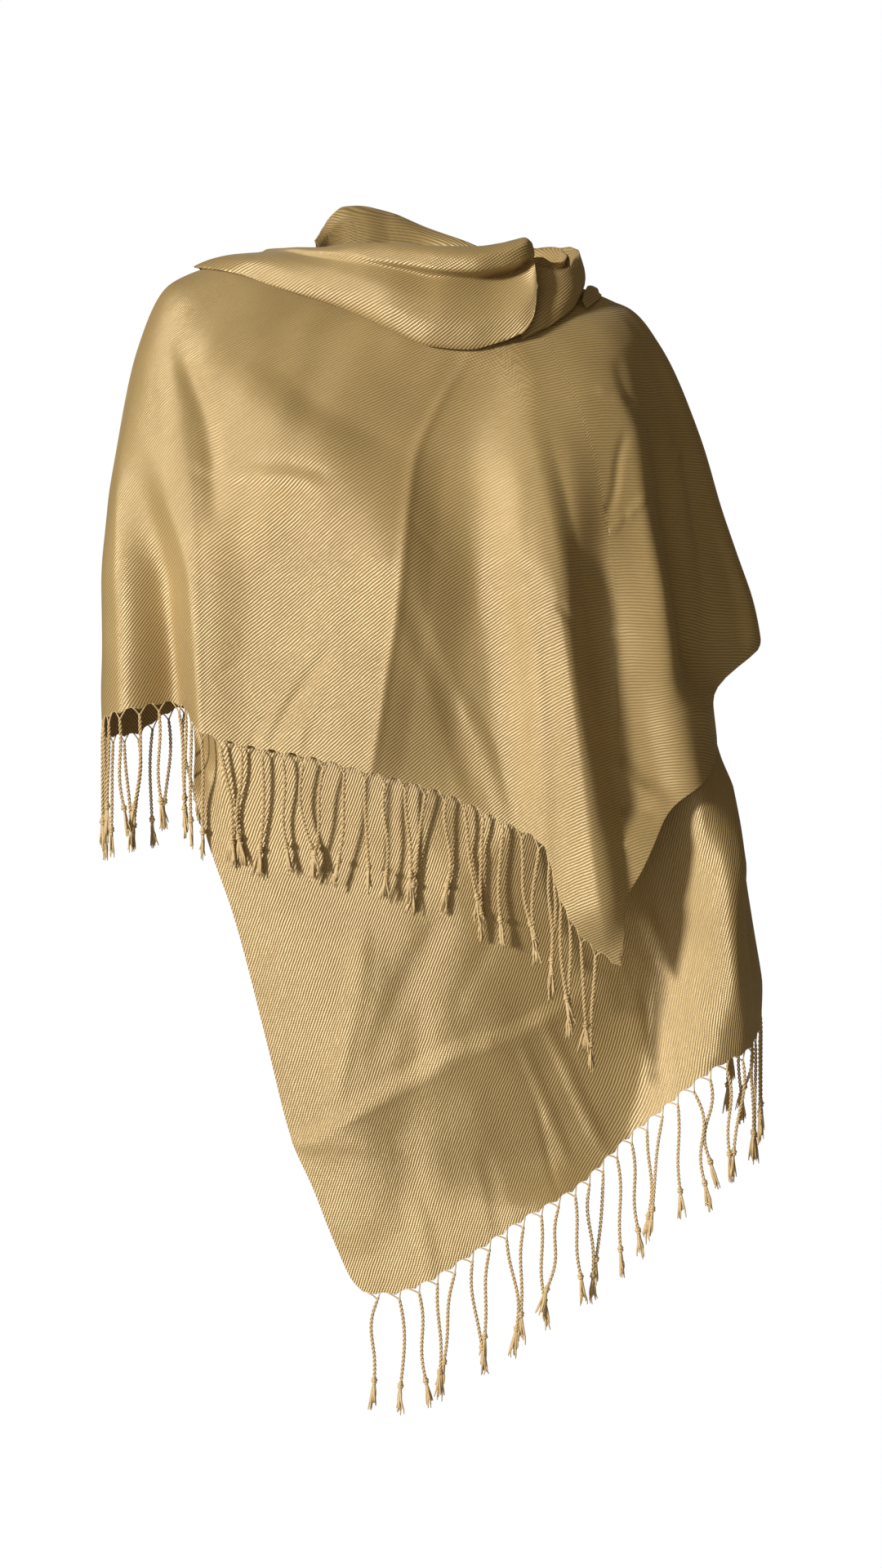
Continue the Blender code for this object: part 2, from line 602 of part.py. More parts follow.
def hanging_places(lower_edge, cells):
    """A grid of places that hangs from the neckline to a lower edge, column by column."""
    low = edge_curve(lower_edge, np.linspace(0, 1, cells + 1))
    azimuth = azimuth_of(low[:, :1])
    neckline = smooth_value(
        [place.azimuth for place in NECKLINE], [place.drop for place in NECKLINE], azimuth
    )
    share = np.linspace(0, 1, PANEL_ROWS + 1)[None]
    drop = low[:, 1:] + (neckline - low[:, 1:]) * share
    return np.broadcast_to(azimuth, drop.shape), drop


def front_panel_points():
    """The front panel's grid, with its hem first and then the edge of its selvage."""
    hem_azimuth, hem_drop = hanging_places(FRONT_HEM, FRONT_HEM_CELLS)
    azimuth, drop = hanging_places(FRONT_SELVAGE, FRONT_SELVAGE_CELLS)
    azimuth = np.concatenate([hem_azimuth, azimuth[1:]])
    drop = np.concatenate([hem_drop, drop[1:]])
    return front_point(azimuth, drop)


def under_panel_points():
    """The under panel's grid, along its hem and then up its length."""
    places = patch_places(UNDER_HEM, UNDER_TOP, UNDER_SELVAGE, UNDER_FAR_SELVAGE, UNDER_CELLS)
    return under_point(*places)


def back_panel_points():
    """The back panel's grid, from the front panel's seam round to the far shoulder."""
    return back_point(*hanging_places(BACK_LOWER_EDGE, BACK_CELLS))


def turned_under(station):
    """How far a neck fold's lower edge is turned under, at right angles to the fold."""
    return min(TURNED_UNDER, station.tuck * TURN_OF_TUCK)


def neck_profile(edge, top, outward, station):
    """The points of one section of a neck fold, from under its edge over the top and inside."""
    chord = top - edge
    length = np.linalg.norm(chord)
    chord /= length
    outward = outward - chord * outward.dot(chord)
    outward /= np.linalg.norm(outward)
    inward = np.array([-top[0], -top[1], 0.0])
    inward /= np.linalg.norm(inward)
    down = np.array([0.0, 0.0, -1.0])
    start = [edge + chord * station.tuck - outward * turned_under(station), edge]
    middle = []
    for swell in NECK_SWELLS:
        height = station.belly * swell.belly - station.groove * swell.groove
        height += station.roll * swell.roll
        middle.append(edge + chord * length * swell.way + outward * height)
    reach, fall = TOP_TURN
    end = [
        top,
        top + inward * station.inward * reach + down * station.inner_drop * fall,
        top + inward * station.inward + down * station.inner_drop,
    ]
    return np.array(start + middle + end)


def neck_points(stations, panel_point, cells):
    """A neck fold's grid, lofted through its stations."""
    shares = np.linspace(0, 1, cells[1] + 1)
    sections = []
    for station in stations:
        azimuth = np.array(float(station.edge_azimuth))
        drop = np.array(station.edge_drop)
        normal = figure_normal(azimuth, drop)
        edge = panel_point(azimuth, drop) + normal * (NECK_STANDOFF + turned_under(station))
        axis = np.array([edge[0], edge[1], 0.0])
        edge -= axis / np.linalg.norm(axis) * station.edge_inset
        edge[2] += station.edge_rise
        top = np.array([station.top_x, station.top_y, station.top_z])
        profile = neck_profile(edge, top, normal, station)
        steps = np.linalg.norm(np.diff(profile, axis=0), axis=1)
        way = np.concatenate([[0.0], np.cumsum(steps)])
        sections.append(smooth_value(way / way[-1], profile, shares))
    sections = np.array(sections)
    middles = sections.mean(axis=1)
    steps = np.linalg.norm(np.diff(middles, axis=0), axis=1)
    way = np.concatenate([[0.0], np.cumsum(steps)])
    along = np.linspace(0, 1, cells[0] + 1)
    lofted = smooth_value(way / way[-1], sections.reshape(len(stations), -1), along)
    return lofted.reshape(cells[0] + 1, cells[1] + 1, 3)


def inner_roll_points():
    """The layer inside the side roll, from its upper edge down."""
    edge = np.array(INNER_ROLL_EDGE)
    way = np.linspace(0, 1, len(edge))
    upper = smooth_value(way, edge, np.linspace(0, 1, INNER_ROLL_CELLS[0] + 1))
    inward = -upper * np.array([1.0, 1.0, 0.0])
    inward /= np.linalg.norm(inward, axis=1, keepdims=True)
    share = np.linspace(0, 1, INNER_ROLL_CELLS[1] + 1)[None, :, None]
    fall = np.array([0.0, 0.0, -INNER_ROLL_DEPTH])
    return upper[:, None] + share * (fall + inward[:, None] * INNER_ROLL_SLANT)


def pleat_points():
    """The small pleat on the shoulder, a leaf that leans on the front panel."""
    along = np.linspace(0, 1, PLEAT_CELLS[0] + 1)
    across = np.linspace(0, 1, PLEAT_CELLS[1] + 1)
    azimuth = PLEAT_ROOT.azimuth + (PLEAT_TIP.azimuth - PLEAT_ROOT.azimuth) * along
    drop = PLEAT_ROOT.drop + (PLEAT_TIP.drop - PLEAT_ROOT.drop) * along
    spread = PLEAT_HEIGHT * smooth_value(*zip(*PLEAT_OUTLINE), along)
    places = drop[:, None] - spread[:, None] * across[None]
    azimuths = np.broadcast_to(azimuth[:, None], places.shape)
    lift = PLEAT_REST + PLEAT_LIFT * smooth_step(0, 1, across)[None]
    return front_point(azimuths, places) + figure_normal(azimuths, places) * lift[..., None]


def clear_of_panel(point, panel_point):
    """A cord's point, moved outwards where the panel behind is nearer than the clearance."""
    azimuth = math.degrees(math.atan2(point[0], -point[1]))
    if azimuth < EDGE_ABOVE_CORDS:
        return point
    panel = panel_point(np.array(azimuth), np.array(-point[2]))
    radius = math.hypot(point[0], point[1])
    wanted = math.hypot(panel[0], panel[1]) + CORD_CLEARANCE
    if radius >= wanted:
        return point
    scale = wanted / radius
    return np.array([point[0] * scale, point[1] * scale, point[2]])


def ring_at(centre, along, through, width, depth):
    """The four corners of a cord's section."""
    side = along * width / 2
    out = through * depth / 2
    return [centre - side - out, centre + side - out, centre + side + out, centre - side + out]


def fringe_mesh(name, hem, length_up, backing, seed):
    """The strip below a hem with a knotted cord hanging from it at even spaces.

    hem is the panel's lowest row of points and length_up the row above it. backing gives the panel
    that the cords hang in front of, or is None where they hang free.
    """
    chance = random.Random(seed)
    steps = np.linalg.norm(np.diff(hem, axis=0), axis=1)
    way = np.concatenate([[0.0], np.cumsum(steps)])
    spacing = way[-1] / STRANDS
    roots = [(number + 0.5) * spacing - CORD / 2 for number in range(STRANDS)]
    stops = {END_INSET: False, way[-1] - END_INSET: False}
    for bend in way[1:-1]:
        if all(not -MIN_CELL < bend - root < CORD + MIN_CELL for root in roots):
            stops[bend] = False
    for root in roots:
        stops[root] = True
        stops[root + CORD] = False
    carries_cord = [stops[stop] for stop in sorted(stops)]
    stops = sorted(stops)

    def hem_value(values, stop):
        return np.array([np.interp(stop, way, values[:, axis]) for axis in range(3)])

    downwards = hem - length_up
    downwards /= np.linalg.norm(downwards, axis=1, keepdims=True)
    vertices = []
    faces = []
    frames = []
    for stop in stops:
        near = 0.002
        centre = hem_value(hem, stop)
        before = hem_value(hem, max(stop - near, 0))
        after = hem_value(hem, min(stop + near, way[-1]))
        along = (after - before) / np.linalg.norm(after - before)
        down = hem_value(downwards, stop)
        down -= along * down.dot(along)
        down /= np.linalg.norm(down)
        through = np.cross(along, down)
        frames.append((along, through))
        upper = centre + down * STRIP_GAP
        lower = upper + down * STRIP_DEPTH
        half = through * WALL / 2
        vertices += [upper - half, upper + half, lower + half, lower - half]
    for index in range(len(stops) - 1):
        here = index * 4
        there = here + 4
        for side in range(4):
            other = (side + 1) % 4
            if side != 2 or not carries_cord[index]:
                faces.append([here + side, here + other, there + other, there + side])
    faces.append([0, 3, 2, 1])
    last = (len(stops) - 1) * 4
    faces.append([last, last + 1, last + 2, last + 3])

    for index, carries in enumerate(carries_cord):
        if not carries:
            continue
        here = index * 4
        there = here + 4
        along, through = frames[index]
        flat_along = along * np.array([1.0, 1.0, 0.0])
        flat_along /= np.linalg.norm(flat_along)
        flat_through = np.array([-flat_along[1], flat_along[0], 0.0])
        if flat_through.dot(through) < 0:
            flat_through = -flat_through
        corners = [here + 3, there + 3, there + 2, here + 2]
        root = np.mean([vertices[corner] for corner in corners], axis=0)
        stray = flat_along * chance.uniform(-LEAN, LEAN)
        cord = CORD_LENGTH * chance.uniform(0.90, 1.06)
        down = np.array([0.0, 0.0, -1.0])
        sections = [
            (root + stray * 0.9 + down * cord, CORD, CORD),
            (root + stray + down * (cord + KNOT_LENGTH / 2), KNOT, KNOT),
            (root + stray * 1.1 + down * (cord + KNOT_LENGTH + BRUSH_LENGTH), BRUSH, BRUSH * 0.6),
        ]
        previous = corners
        for centre, width, depth in sections:
            if backing:
                centre = clear_of_panel(centre, backing)
            ring = ring_at(centre, flat_along, flat_through, width, depth)
            fresh = list(range(len(vertices), len(vertices) + 4))
            vertices += ring
            for side in range(4):
                other = (side + 1) % 4
                faces.append([previous[side], previous[other], fresh[other], fresh[side]])
            previous = fresh
        faces.append(previous)
    mesh = bpy.data.meshes.new(name)
    mesh.from_pydata([tuple(vertex) for vertex in vertices], [], faces)
    return mesh


def face_outwards(mesh):
    """Turns every face of a closed mesh outwards."""
    work = bmesh.new()
    work.from_mesh(mesh)
    bmesh.ops.recalc_face_normals(work, faces=work.faces)
    work.to_mesh(mesh)
    work.free()


def clear_scene():
    """Removes whatever the scene starts with."""
    for old in list(bpy.data.objects):
        bpy.data.objects.remove(old, do_unlink=True)


def build():
    """Makes every node of the shawl."""
    clear_scene()
    holder = bpy.data.objects.new("shawl", None)
    bpy.context.collection.objects.link(holder)
    cloth = cloth_material("shawl_cloth", (0.54, 0.355, 0.147))
    yarn = cloth_material("fringe_yarn", (0.58, 0.40, 0.18))
    front = front_panel_points()
    hem = front[: FRONT_HEM_CELLS + 1]
    under = under_panel_points()
    walls = {
        "front_panel": front,
        "under_panel": under,
        "back_panel": back_panel_points(),
        "neck_front_fold": neck_points(NECK_FRONT, front_point, NECK_FRONT_CELLS),
        "neck_side_fold": neck_points(NECK_SIDE, front_point, NECK_SIDE_CELLS),
        "neck_back_fold": neck_points(NECK_BACK, back_point, NECK_BACK_CELLS),
        "neck_inner_roll": inner_roll_points(),
        "shoulder_pleat": pleat_points(),
    }
    for name, points in walls.items():
        mesh = wall_mesh(name, points)
        face_outwards(mesh)
        add_piece(name, mesh, cloth, holder)
    fringes = {
        "fringe_upper": fringe_mesh("fringe_upper", hem[:, 0], hem[:, 1], under_point, 3),
        "fringe_lower": fringe_mesh("fringe_lower", under[:, 0], under[:, 1], None, 7),
    }
    for name, mesh in fringes.items():
        face_outwards(mesh)
        add_piece(name, mesh, yarn, holder)


build()
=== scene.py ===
"""Pashmina shawl, worn wound once round the neck, with a knotted fringe along each end.

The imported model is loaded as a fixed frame. Each stretch of cloth in it is then replaced by a thin
shell of the same form with its creases, its weave and its finished edges, and each row of plain cords
by twisted ones. Lengths are metres unless a name says millimetres, +Z is up and the wearer would face
-Y, with the origin at the base of the neck.
"""

from __future__ import annotations

import logging
import math
import random
from dataclasses import dataclass, field
from enum import Enum
from typing import Any, Callable, NamedTuple

import bpy
import numpy as np
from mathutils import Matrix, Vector

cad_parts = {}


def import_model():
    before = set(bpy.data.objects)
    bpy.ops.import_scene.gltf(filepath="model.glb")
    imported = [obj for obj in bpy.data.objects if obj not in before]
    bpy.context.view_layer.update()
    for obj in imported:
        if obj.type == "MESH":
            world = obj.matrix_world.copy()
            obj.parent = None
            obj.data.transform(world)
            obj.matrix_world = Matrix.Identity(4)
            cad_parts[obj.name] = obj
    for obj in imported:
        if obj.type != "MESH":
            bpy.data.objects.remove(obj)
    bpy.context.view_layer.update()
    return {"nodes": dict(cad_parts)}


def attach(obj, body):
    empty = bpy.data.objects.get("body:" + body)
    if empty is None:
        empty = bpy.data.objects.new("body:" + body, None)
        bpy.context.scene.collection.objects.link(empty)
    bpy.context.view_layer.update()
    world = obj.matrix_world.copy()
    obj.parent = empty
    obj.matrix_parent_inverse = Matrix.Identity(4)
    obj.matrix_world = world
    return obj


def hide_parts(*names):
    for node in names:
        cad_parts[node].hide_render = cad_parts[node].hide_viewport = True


LOG = logging.getLogger("shawl")
Array = np.ndarray
Colour = tuple[float, float, float]

# The cloth and its layers
CLOTH = 0.0009  # thickness of the woven cloth
LAYER_GAP = 0.006  # between the middles of two layers that lie on each other
REACH_OF_RELIEF = 0.018  # an inner layer keeps clear of outer folds this far to each side
FADE = 0.045  # a fold runs out over this length past its ends
STRANDS = 46  # cords along each hem
MILLIMETRE = 0.001
TINY = 1e-12  # a length that stands in for nought below a division
CHEST_DROP = 0.30  # the girth is measured this far down the figure
FRONT_HALF = (-0.02, 0.02)  # metres before the axis over which creases seen from the front set in
POINTS_A_KNOT = 4  # a crease's line is followed through this many points for each of its own


class Level(NamedTuple):
    """One ring of the figure: its drop, its reach and height at each side, how square its front is."""

    drop: float
    front_y: float
    front_z: float
    left_x: float
    left_z: float
    right_x: float
    right_z: float
    back_y: float
    back_z: float
    front_square: float


class Place(NamedTuple):
    """A place on the figure: degrees round from the front, and metres down it."""

    azimuth: float
    drop: float


def edge_of(*pairs: tuple[float, float]) -> list[Place]:
    """The places along an edge."""
    return [Place(*pair) for pair in pairs]


class Fold(NamedTuple):
    """A fold that falls down a panel, by three places on its line."""

    name: str
    top_azimuth: float
    top_drop: float
    mid_azimuth: float
    mid_drop: float
    low_azimuth: float
    low_drop: float
    left_width: float
    right_width: float
    top_height: float
    mid_height: float
    low_height: float


class Station(NamedTuple):
    """One section of a neck fold, from its edge on the figure to the top of the roll."""

    edge_azimuth: float
    edge_drop: float
    top_x: float
    top_y: float
    top_z: float
    belly: float
    roll: float
    tuck: float
    inward: float
    inner_drop: float
    groove: float = 0.0
    edge_inset: float = 0.0
    edge_rise: float = 0.0


@dataclass(frozen=True)
class RibMap:
    """The slope of a piece's twill ribs as seen from the front, in a table over the picture."""

    across: tuple[float, ...]
    rows: tuple[tuple[float, tuple[float, ...]], ...]
    elsewhere: float = 45.0
    pitch: float = 1.0

    def slope(self, seen: Array) -> Array:
        """The slope at places in the picture.

        Args:
            seen: millimetres across and up.

        Returns:
            The slopes in degrees.
        """
        heights = np.array([row[0] for row in self.rows])
        slopes = np.array([np.interp(seen[..., 0], self.across, row[1]) for row in self.rows])
        height = np.clip(seen[..., 1], heights[-1], heights[0])
        share = np.interp(-height, -heights, np.arange(len(heights)))
        low = np.minimum(share.astype(int), len(heights) - 2)
        part = share - low
        first = np.take_along_axis(slopes, low[None], axis=0)[0]
        second = np.take_along_axis(slopes, low[None] + 1, axis=0)[0]
        return first * (1 - part) + second * part


class Chart(Enum):
    """What the points of a crease's line are measured in."""

    FRONT = "millimetres across and up, as seen from the front"
    GIRTH = "degrees round the figure and millimetres down it"


class Profile(Enum):
    """The section of a crease."""

    SOFT = "a round ridge or trough"
    SHARP = "two slopes that meet in an edge"


class Crease(NamedTuple):
    """A crease along a line, with its height and its reach to either side in millimetres."""

    name: str
    chart: Chart
    profile: Profile
    height: float
    left: float
    right: float
    line: tuple[tuple[float, float], ...]


FRONT, GIRTH = Chart.FRONT, Chart.GIRTH
SOFT, SHARP = Profile.SOFT, Profile.SHARP

BACK_SQUARE = 2.4  # 2 gives elliptical rings, more gives squarer ones
LEVELS = [
    Level(0.00, 0.078, 0.000, 0.100, 0.056, 0.130, 0.030, 0.072, 0.045, 2.4),
    Level(0.03, 0.095, -0.030, 0.165, 0.043, 0.172, 0.015, 0.095, 0.012, 2.4),
    Level(0.06, 0.108, -0.062, 0.212, 0.021, 0.200, 0.000, 0.106, -0.025, 2.5),
    Level(0.10, 0.121, -0.102, 0.234, -0.030, 0.219, -0.035, 0.115, -0.075, 2.8),
    Level(0.15, 0.131, -0.148, 0.250, -0.102, 0.240, -0.102, 0.121, -0.138, 3.2),
    Level(0.20, 0.136, -0.198, 0.262, -0.172, 0.253, -0.172, 0.125, -0.194, 3.7),
    Level(0.26, 0.138, -0.260, 0.268, -0.248, 0.263, -0.248, 0.127, -0.258, 4.2),
    Level(0.37, 0.137, -0.370, 0.268, -0.370, 0.278, -0.370, 0.128, -0.370, 4.3),
    Level(0.50, 0.138, -0.500, 0.255, -0.500, 0.303, -0.500, 0.133, -0.500, 4.0),
    Level(0.65, 0.135, -0.650, 0.240, -0.650, 0.322, -0.650, 0.132, -0.650, 3.3),
    Level(0.90, 0.125, -0.900, 0.220, -0.900, 0.330, -0.900, 0.125, -0.900, 2.8),
]

FRONT_HEM = edge_of(
    (-125, 0.345), (-112, 0.362), (-104, 0.380), (-96, 0.380), (-82.5, 0.368), (-67.4, 0.352),
    (-61, 0.345), (-57.1, 0.349), (-53.1, 0.368), (-47.4, 0.378), (-31.4, 0.389), (-10, 0.404),
    (4, 0.413), (15.9, 0.423), (31.5, 0.445), (41.7, 0.467), (44.5, 0.507), (48.2, 0.541),
    (55.4, 0.574),
)
FRONT_SELVAGE = edge_of(
    (55.4, 0.574), (55.8, 0.516), (58.1, 0.487), (62.6, 0.436), (70.7, 0.401), (76.6, 0.372),
    (79.2, 0.338), (84.5, 0.305), (95, 0.294), (108, 0.280),
)
FRONT_CORNER = 60  # the selvage turns up steeply before this azimuth
NECKLINE = edge_of(
    (-125, 0.016), (-90, 0.018), (-72, 0.012), (-56, 0.002), (-30, 0.000), (-10, 0.002),
    (10, 0.014), (45, 0.016), (60, 0.014), (90, 0.015), (108, 0.018), (150, 0.022), (180, 0.026),
    (225, 0.025), (245, 0.029), (270, 0.030),
)
UNDER_HEM = edge_of(
    (-15, 0.860), (-5, 0.861), (6, 0.854), (24.9, 0.827), (40.5, 0.793), (52.7, 0.763),
    (61.7, 0.716), (70.4, 0.662), (82.6, 0.635), (95, 0.610), (104, 0.582), (125, 0.555),
    (150, 0.530),
)
UNDER_SELVAGE = edge_of(
    (-15, 0.860), (-19.9, 0.847), (-24.8, 0.818), (-31.5, 0.766), (-37.1, 0.722), (-42.4, 0.635),
    (-48.1, 0.527), (-52.2, 0.466), (-54.6, 0.418), (-57.9, 0.330), (-64.1, 0.220), (-76.9, 0.120),
    (-89.9, 0.060),
)
UNDER_TOP = edge_of(
    (-89.9, 0.060), (-89.9, 0.020), (-60, 0.010), (0, 0.012), (70, 0.020),
)
UNDER_FAR_SELVAGE = edge_of(
    (150, 0.530), (146, 0.400), (135, 0.280), (118, 0.170), (98, 0.080), (70, 0.020),
)
BACK_LOWER_EDGE = edge_of(
    (108.05, 0.280), (125, 0.310), (150, 0.395), (180, 0.452), (205, 0.448), (230, 0.400),
    (250, 0.345), (269.8, 0.315),
)

# Where one layer passes below another, as azimuths and as distances below the front panel's edge
BACK_TUCKED = (180, 225)
UNDER_BEHIND = (100, 112)
UNDER_COMES_OUT = (0.012, 0.075)
UNDER_REST = 0.003  # the under panel lies this far inside the figure where it shows
EDGE_ABOVE_CORDS = UNDER_SELVAGE[8].azimuth
# Where creases fade out, so that the panels meet in a plain seam at the wearer's left
FRONT_FADES = (100, 108)
BACK_FADES_IN = (105, 125)
UNDER_CREASES_START = (-0.005, 0.03)  # below the front panel's edge

FRONT_FOLDS = [
    Fold("pressed middle", 8.5, 0.116, -1, 0.242, -11.5, 0.404, 0.130, 0.070, 0.000, 0.009, 0.010),
    Fold("bust", -58.5, 0.066, -32, 0.118, -8.5, 0.222, 0.110, 0.080, 0.003, 0.007, 0.003),
    Fold("neck hollow", 29.5, 0.066, 21, 0.114, 23.5, 0.172, 0.150, 0.080, -0.009, -0.011, -0.005),
    Fold("hollow beside it", 25, 0.158, 30, 0.270, 34.5, 0.446, 0.066, 0.048, -0.004, -0.007, -0.006),
    Fold("arm ridge", -66.5, 0.106, -55, 0.220, -54, 0.370, 0.030, 0.050, 0.002, 0.003, 0.003),
    Fold("arm trough", -69, 0.160, -60.5, 0.248, -59, 0.384, 0.046, 0.034, -0.004, -0.027, -0.038),
    Fold("shoulder trough", -67.5, 0.084, -61, 0.108, -53, 0.168, 0.026, 0.024, -0.002, -0.003, -0.001),
    Fold("broad ridge", 42.5, 0.142, 45.5, 0.256, 52.5, 0.512, 0.076, 0.024, 0.004, 0.015, 0.016),
    Fold("deep trough", 57, 0.146, 54, 0.272, 58, 0.418, 0.040, 0.062, -0.005, -0.017, -0.014),
    Fold("middle ridge", 61, 0.200, 62, 0.280, 66, 0.406, 0.026, 0.018, -0.001, -0.001, 0.004),
    Fold("outer trough", 73, 0.128, 70.5, 0.206, 72, 0.304, 0.044, 0.034, -0.006, -0.019, -0.020),
    Fold("elbow ridge", 86, 0.090, 84.5, 0.200, 84, 0.300, 0.034, 0.096, 0.008, 0.028, 0.048),
]
UNDER_FOLDS = [
    Fold("broad fall", 62, 0.440, 62.5, 0.548, 58.5, 0.742, 0.205, 0.048, -0.024, -0.038, -0.032),
    Fold("side trough", 64.5, 0.420, 64, 0.520, 61, 0.670, 0.074, 0.024, -0.007, -0.008, -0.003),
    Fold("side ridge", 78.5, 0.430, 71.5, 0.536, 73.5, 0.638, 0.026, 0.026, 0.004, 0.009, 0.008),
    Fold("edge trough", 94, 0.380, 95, 0.500, 96, 0.660, 0.026, 0.030, -0.008, -0.018, -0.020),
    Fold("far ridge", 105, 0.360, 105, 0.500, 106, 0.640, 0.030, 0.050, 0.004, 0.012, 0.014),
    Fold("left roll", -11.5, 0.482, -16, 0.618, -19, 0.784, 0.125, 0.060, 0.001, 0.006, 0.005),
]
BACK_FOLDS = [
    Fold("right drape", 124, 0.06, 128, 0.20, 132, 0.42, 0.05, 0.04, 0.003, 0.010, 0.012),
    Fold("right trough", 136, 0.06, 144, 0.20, 150, 0.46, 0.04, 0.04, -0.004, -0.011, -0.012),
    Fold("middle drape", 158, 0.08, 164, 0.24, 170, 0.48, 0.05, 0.05, 0.002, 0.009, 0.012),
    Fold("middle trough", 184, 0.08, 192, 0.24, 198, 0.48, 0.05, 0.05, -0.002, -0.009, -0.011),
    Fold("left drape", 216, 0.06, 222, 0.22, 226, 0.46, 0.05, 0.06, 0.003, 0.009, 0.011),
]

FRONT_CREASES = [
    Crease("pressed crease", FRONT, SHARP, 5.5, 120, 28, (
        (33, -84), (17, -113), (9, -136), (4, -172), (-1, -218), (-7, -271), (-15, -318),
        (-29, -405), (-40, -456),
    )),
    Crease("crease edge", FRONT, SHARP, 1.3, 8, 7, (
        (80, -5), (66, -26), (54, -45), (42, -62), (28, -86), (9, -129), (3, -172), (-1, -218),
        (-7, -271), (-15, -318), (-29, -405), (-40, -456),
    )),
    Crease("shoulder band", FRONT, SOFT, -1.5, 13, 13, (
        (-199, -33), (-186, -69), (-173, -106), (-171, -150), (-169, -201),
    )),
    Crease("cross crease", FRONT, SOFT, 1.2, 6, 18, (
        (-199, -122), (-175, -140), (-142, -145), (-106, -147), (-62, -160),
    )),
    Crease("cross crease shade", FRONT, SOFT, -0.9, 10, 7, ((-142, -132), (-106, -134), (-62, -145))),
    Crease("arm edge", FRONT, SOFT, 0.7, 16, 8, (
        (-199, -99), (-191, -164), (-187, -245), (-185, -318), (-184, -391),
    )),
    Crease("hem crease", FRONT, SOFT, -1.3, 8, 10, (
        (-61, -290), (-90, -332), (-115, -376), (-120, -398),
    )),
    Crease("hem crease two", FRONT, SOFT, -0.8, 5, 6, ((-120, -353), (-134, -376), (-138, -394))),
    Crease("hem crease three", FRONT, SOFT, 0.8, 6, 8, ((-73, -339), (-90, -369), (-97, -394))),
    Crease("faint line", FRONT, SOFT, -0.5, 4, 5, ((-142, -309), (-157, -316), (-173, -326))),
    Crease("short line", FRONT, SHARP, -0.7, 6, 5, ((4, -177), (17, -199), (39, -224))),
    Crease("long diagonal", FRONT, SOFT, -1.2, 14, 14, (
        (-7, -230), (18, -296), (39, -347), (53, -398), (74, -453),
    )),
    Crease("low hem crease", FRONT, SOFT, 1.1, 11, 11, (
        (47, -332), (69, -380), (85, -431), (95, -464),
    )),
    Crease("ridge line", FRONT, SOFT, 1.6, 16, 16, (
        (106, -128), (97, -181), (101, -230), (112, -288), (118, -361), (122, -434), (123, -493),
    )),
    Crease("ridge groove", FRONT, SOFT, -1.0, 12, 14, (
        (122, -259), (131, -339), (134, -412), (138, -478), (142, -529),
    )),
    Crease("ridge edge", FRONT, SHARP, 2.2, 22, 10, (
        (126, -201), (141, -274), (150, -339), (160, -412), (169, -485), (183, -588),
    )),
    Crease("ridge nick", FRONT, SOFT, -1.0, 5, 6, ((88, -215), (103, -226), (118, -236))),
    Crease("ridge nick two", FRONT, SHARP, -2.0, 6, 5, ((135, -256), (144, -266), (154, -281))),
    Crease("sleeve nick", FRONT, SHARP, 1.8, 5, 7, ((170, -67), (185, -72), (201, -78))),
    Crease("sleeve line", FRONT, SHARP, -2.2, 7, 8, (
        (188, -34), (193, -56), (204, -82), (217, -101), (222, -128), (223, -150),
    )),
    Crease("crinkle one", FRONT, SHARP, 1.8, 5, 4, ((249, -118), (242, -132), (231, -154))),
    Crease("crinkle two", FRONT, SHARP, 1.6, 5, 4, ((240, -109), (233, -123), (225, -138))),
    Crease("crinkle three", FRONT, SHARP, 1.6, 5, 5, ((217, -161), (208, -172), (198, -183))),
    Crease("crinkle four", FRONT, SHARP, 1.4, 5, 5, ((198, -180), (189, -189), (182, -198))),
    Crease("crinkle five", FRONT, SOFT, -1.6, 6, 6, (
        (201, -99), (192, -128), (188, -157), (180, -186),
    )),
    Crease("corner fold", FRONT, SHARP, 3.2, 26, 9, (
        (179, -391), (209, -419), (222, -428), (240, -443),
    )),
    Crease("corner crease", FRONT, SOFT, -1.4, 7, 7, ((188, -440), (208, -445), (231, -449))),
    Crease("sleeve swell", FRONT, SOFT, 2.0, 14, 12, ((259, -186), (275, -237), (290, -288))),
    Crease("side crease", GIRTH, SOFT, 2.2, 14, 16, ((-84, 60), (-88, 140), (-92, 240), (-97, 400))),
    Crease("side crease two", GIRTH, SOFT, -2.6, 12, 14, (
        (-100, 70), (-104, 160), (-108, 260), (-112, 400),
    )),
    Crease("rear crease", GIRTH, SOFT, 2.0, 14, 12, ((-112, 90), (-116, 200), (-121, 400))),
    Crease("elbow crease", GIRTH, SOFT, -2.4, 10, 12, ((98, 50), (100, 120), (103, 190), (104, 280))),
]
PACKING_LINE = (
    (-120, -750), (-94, -739), (-65, -726), (-28, -704), (15, -679), (53, -658), (91, -647),
    (139, -621), (172, -599),
)
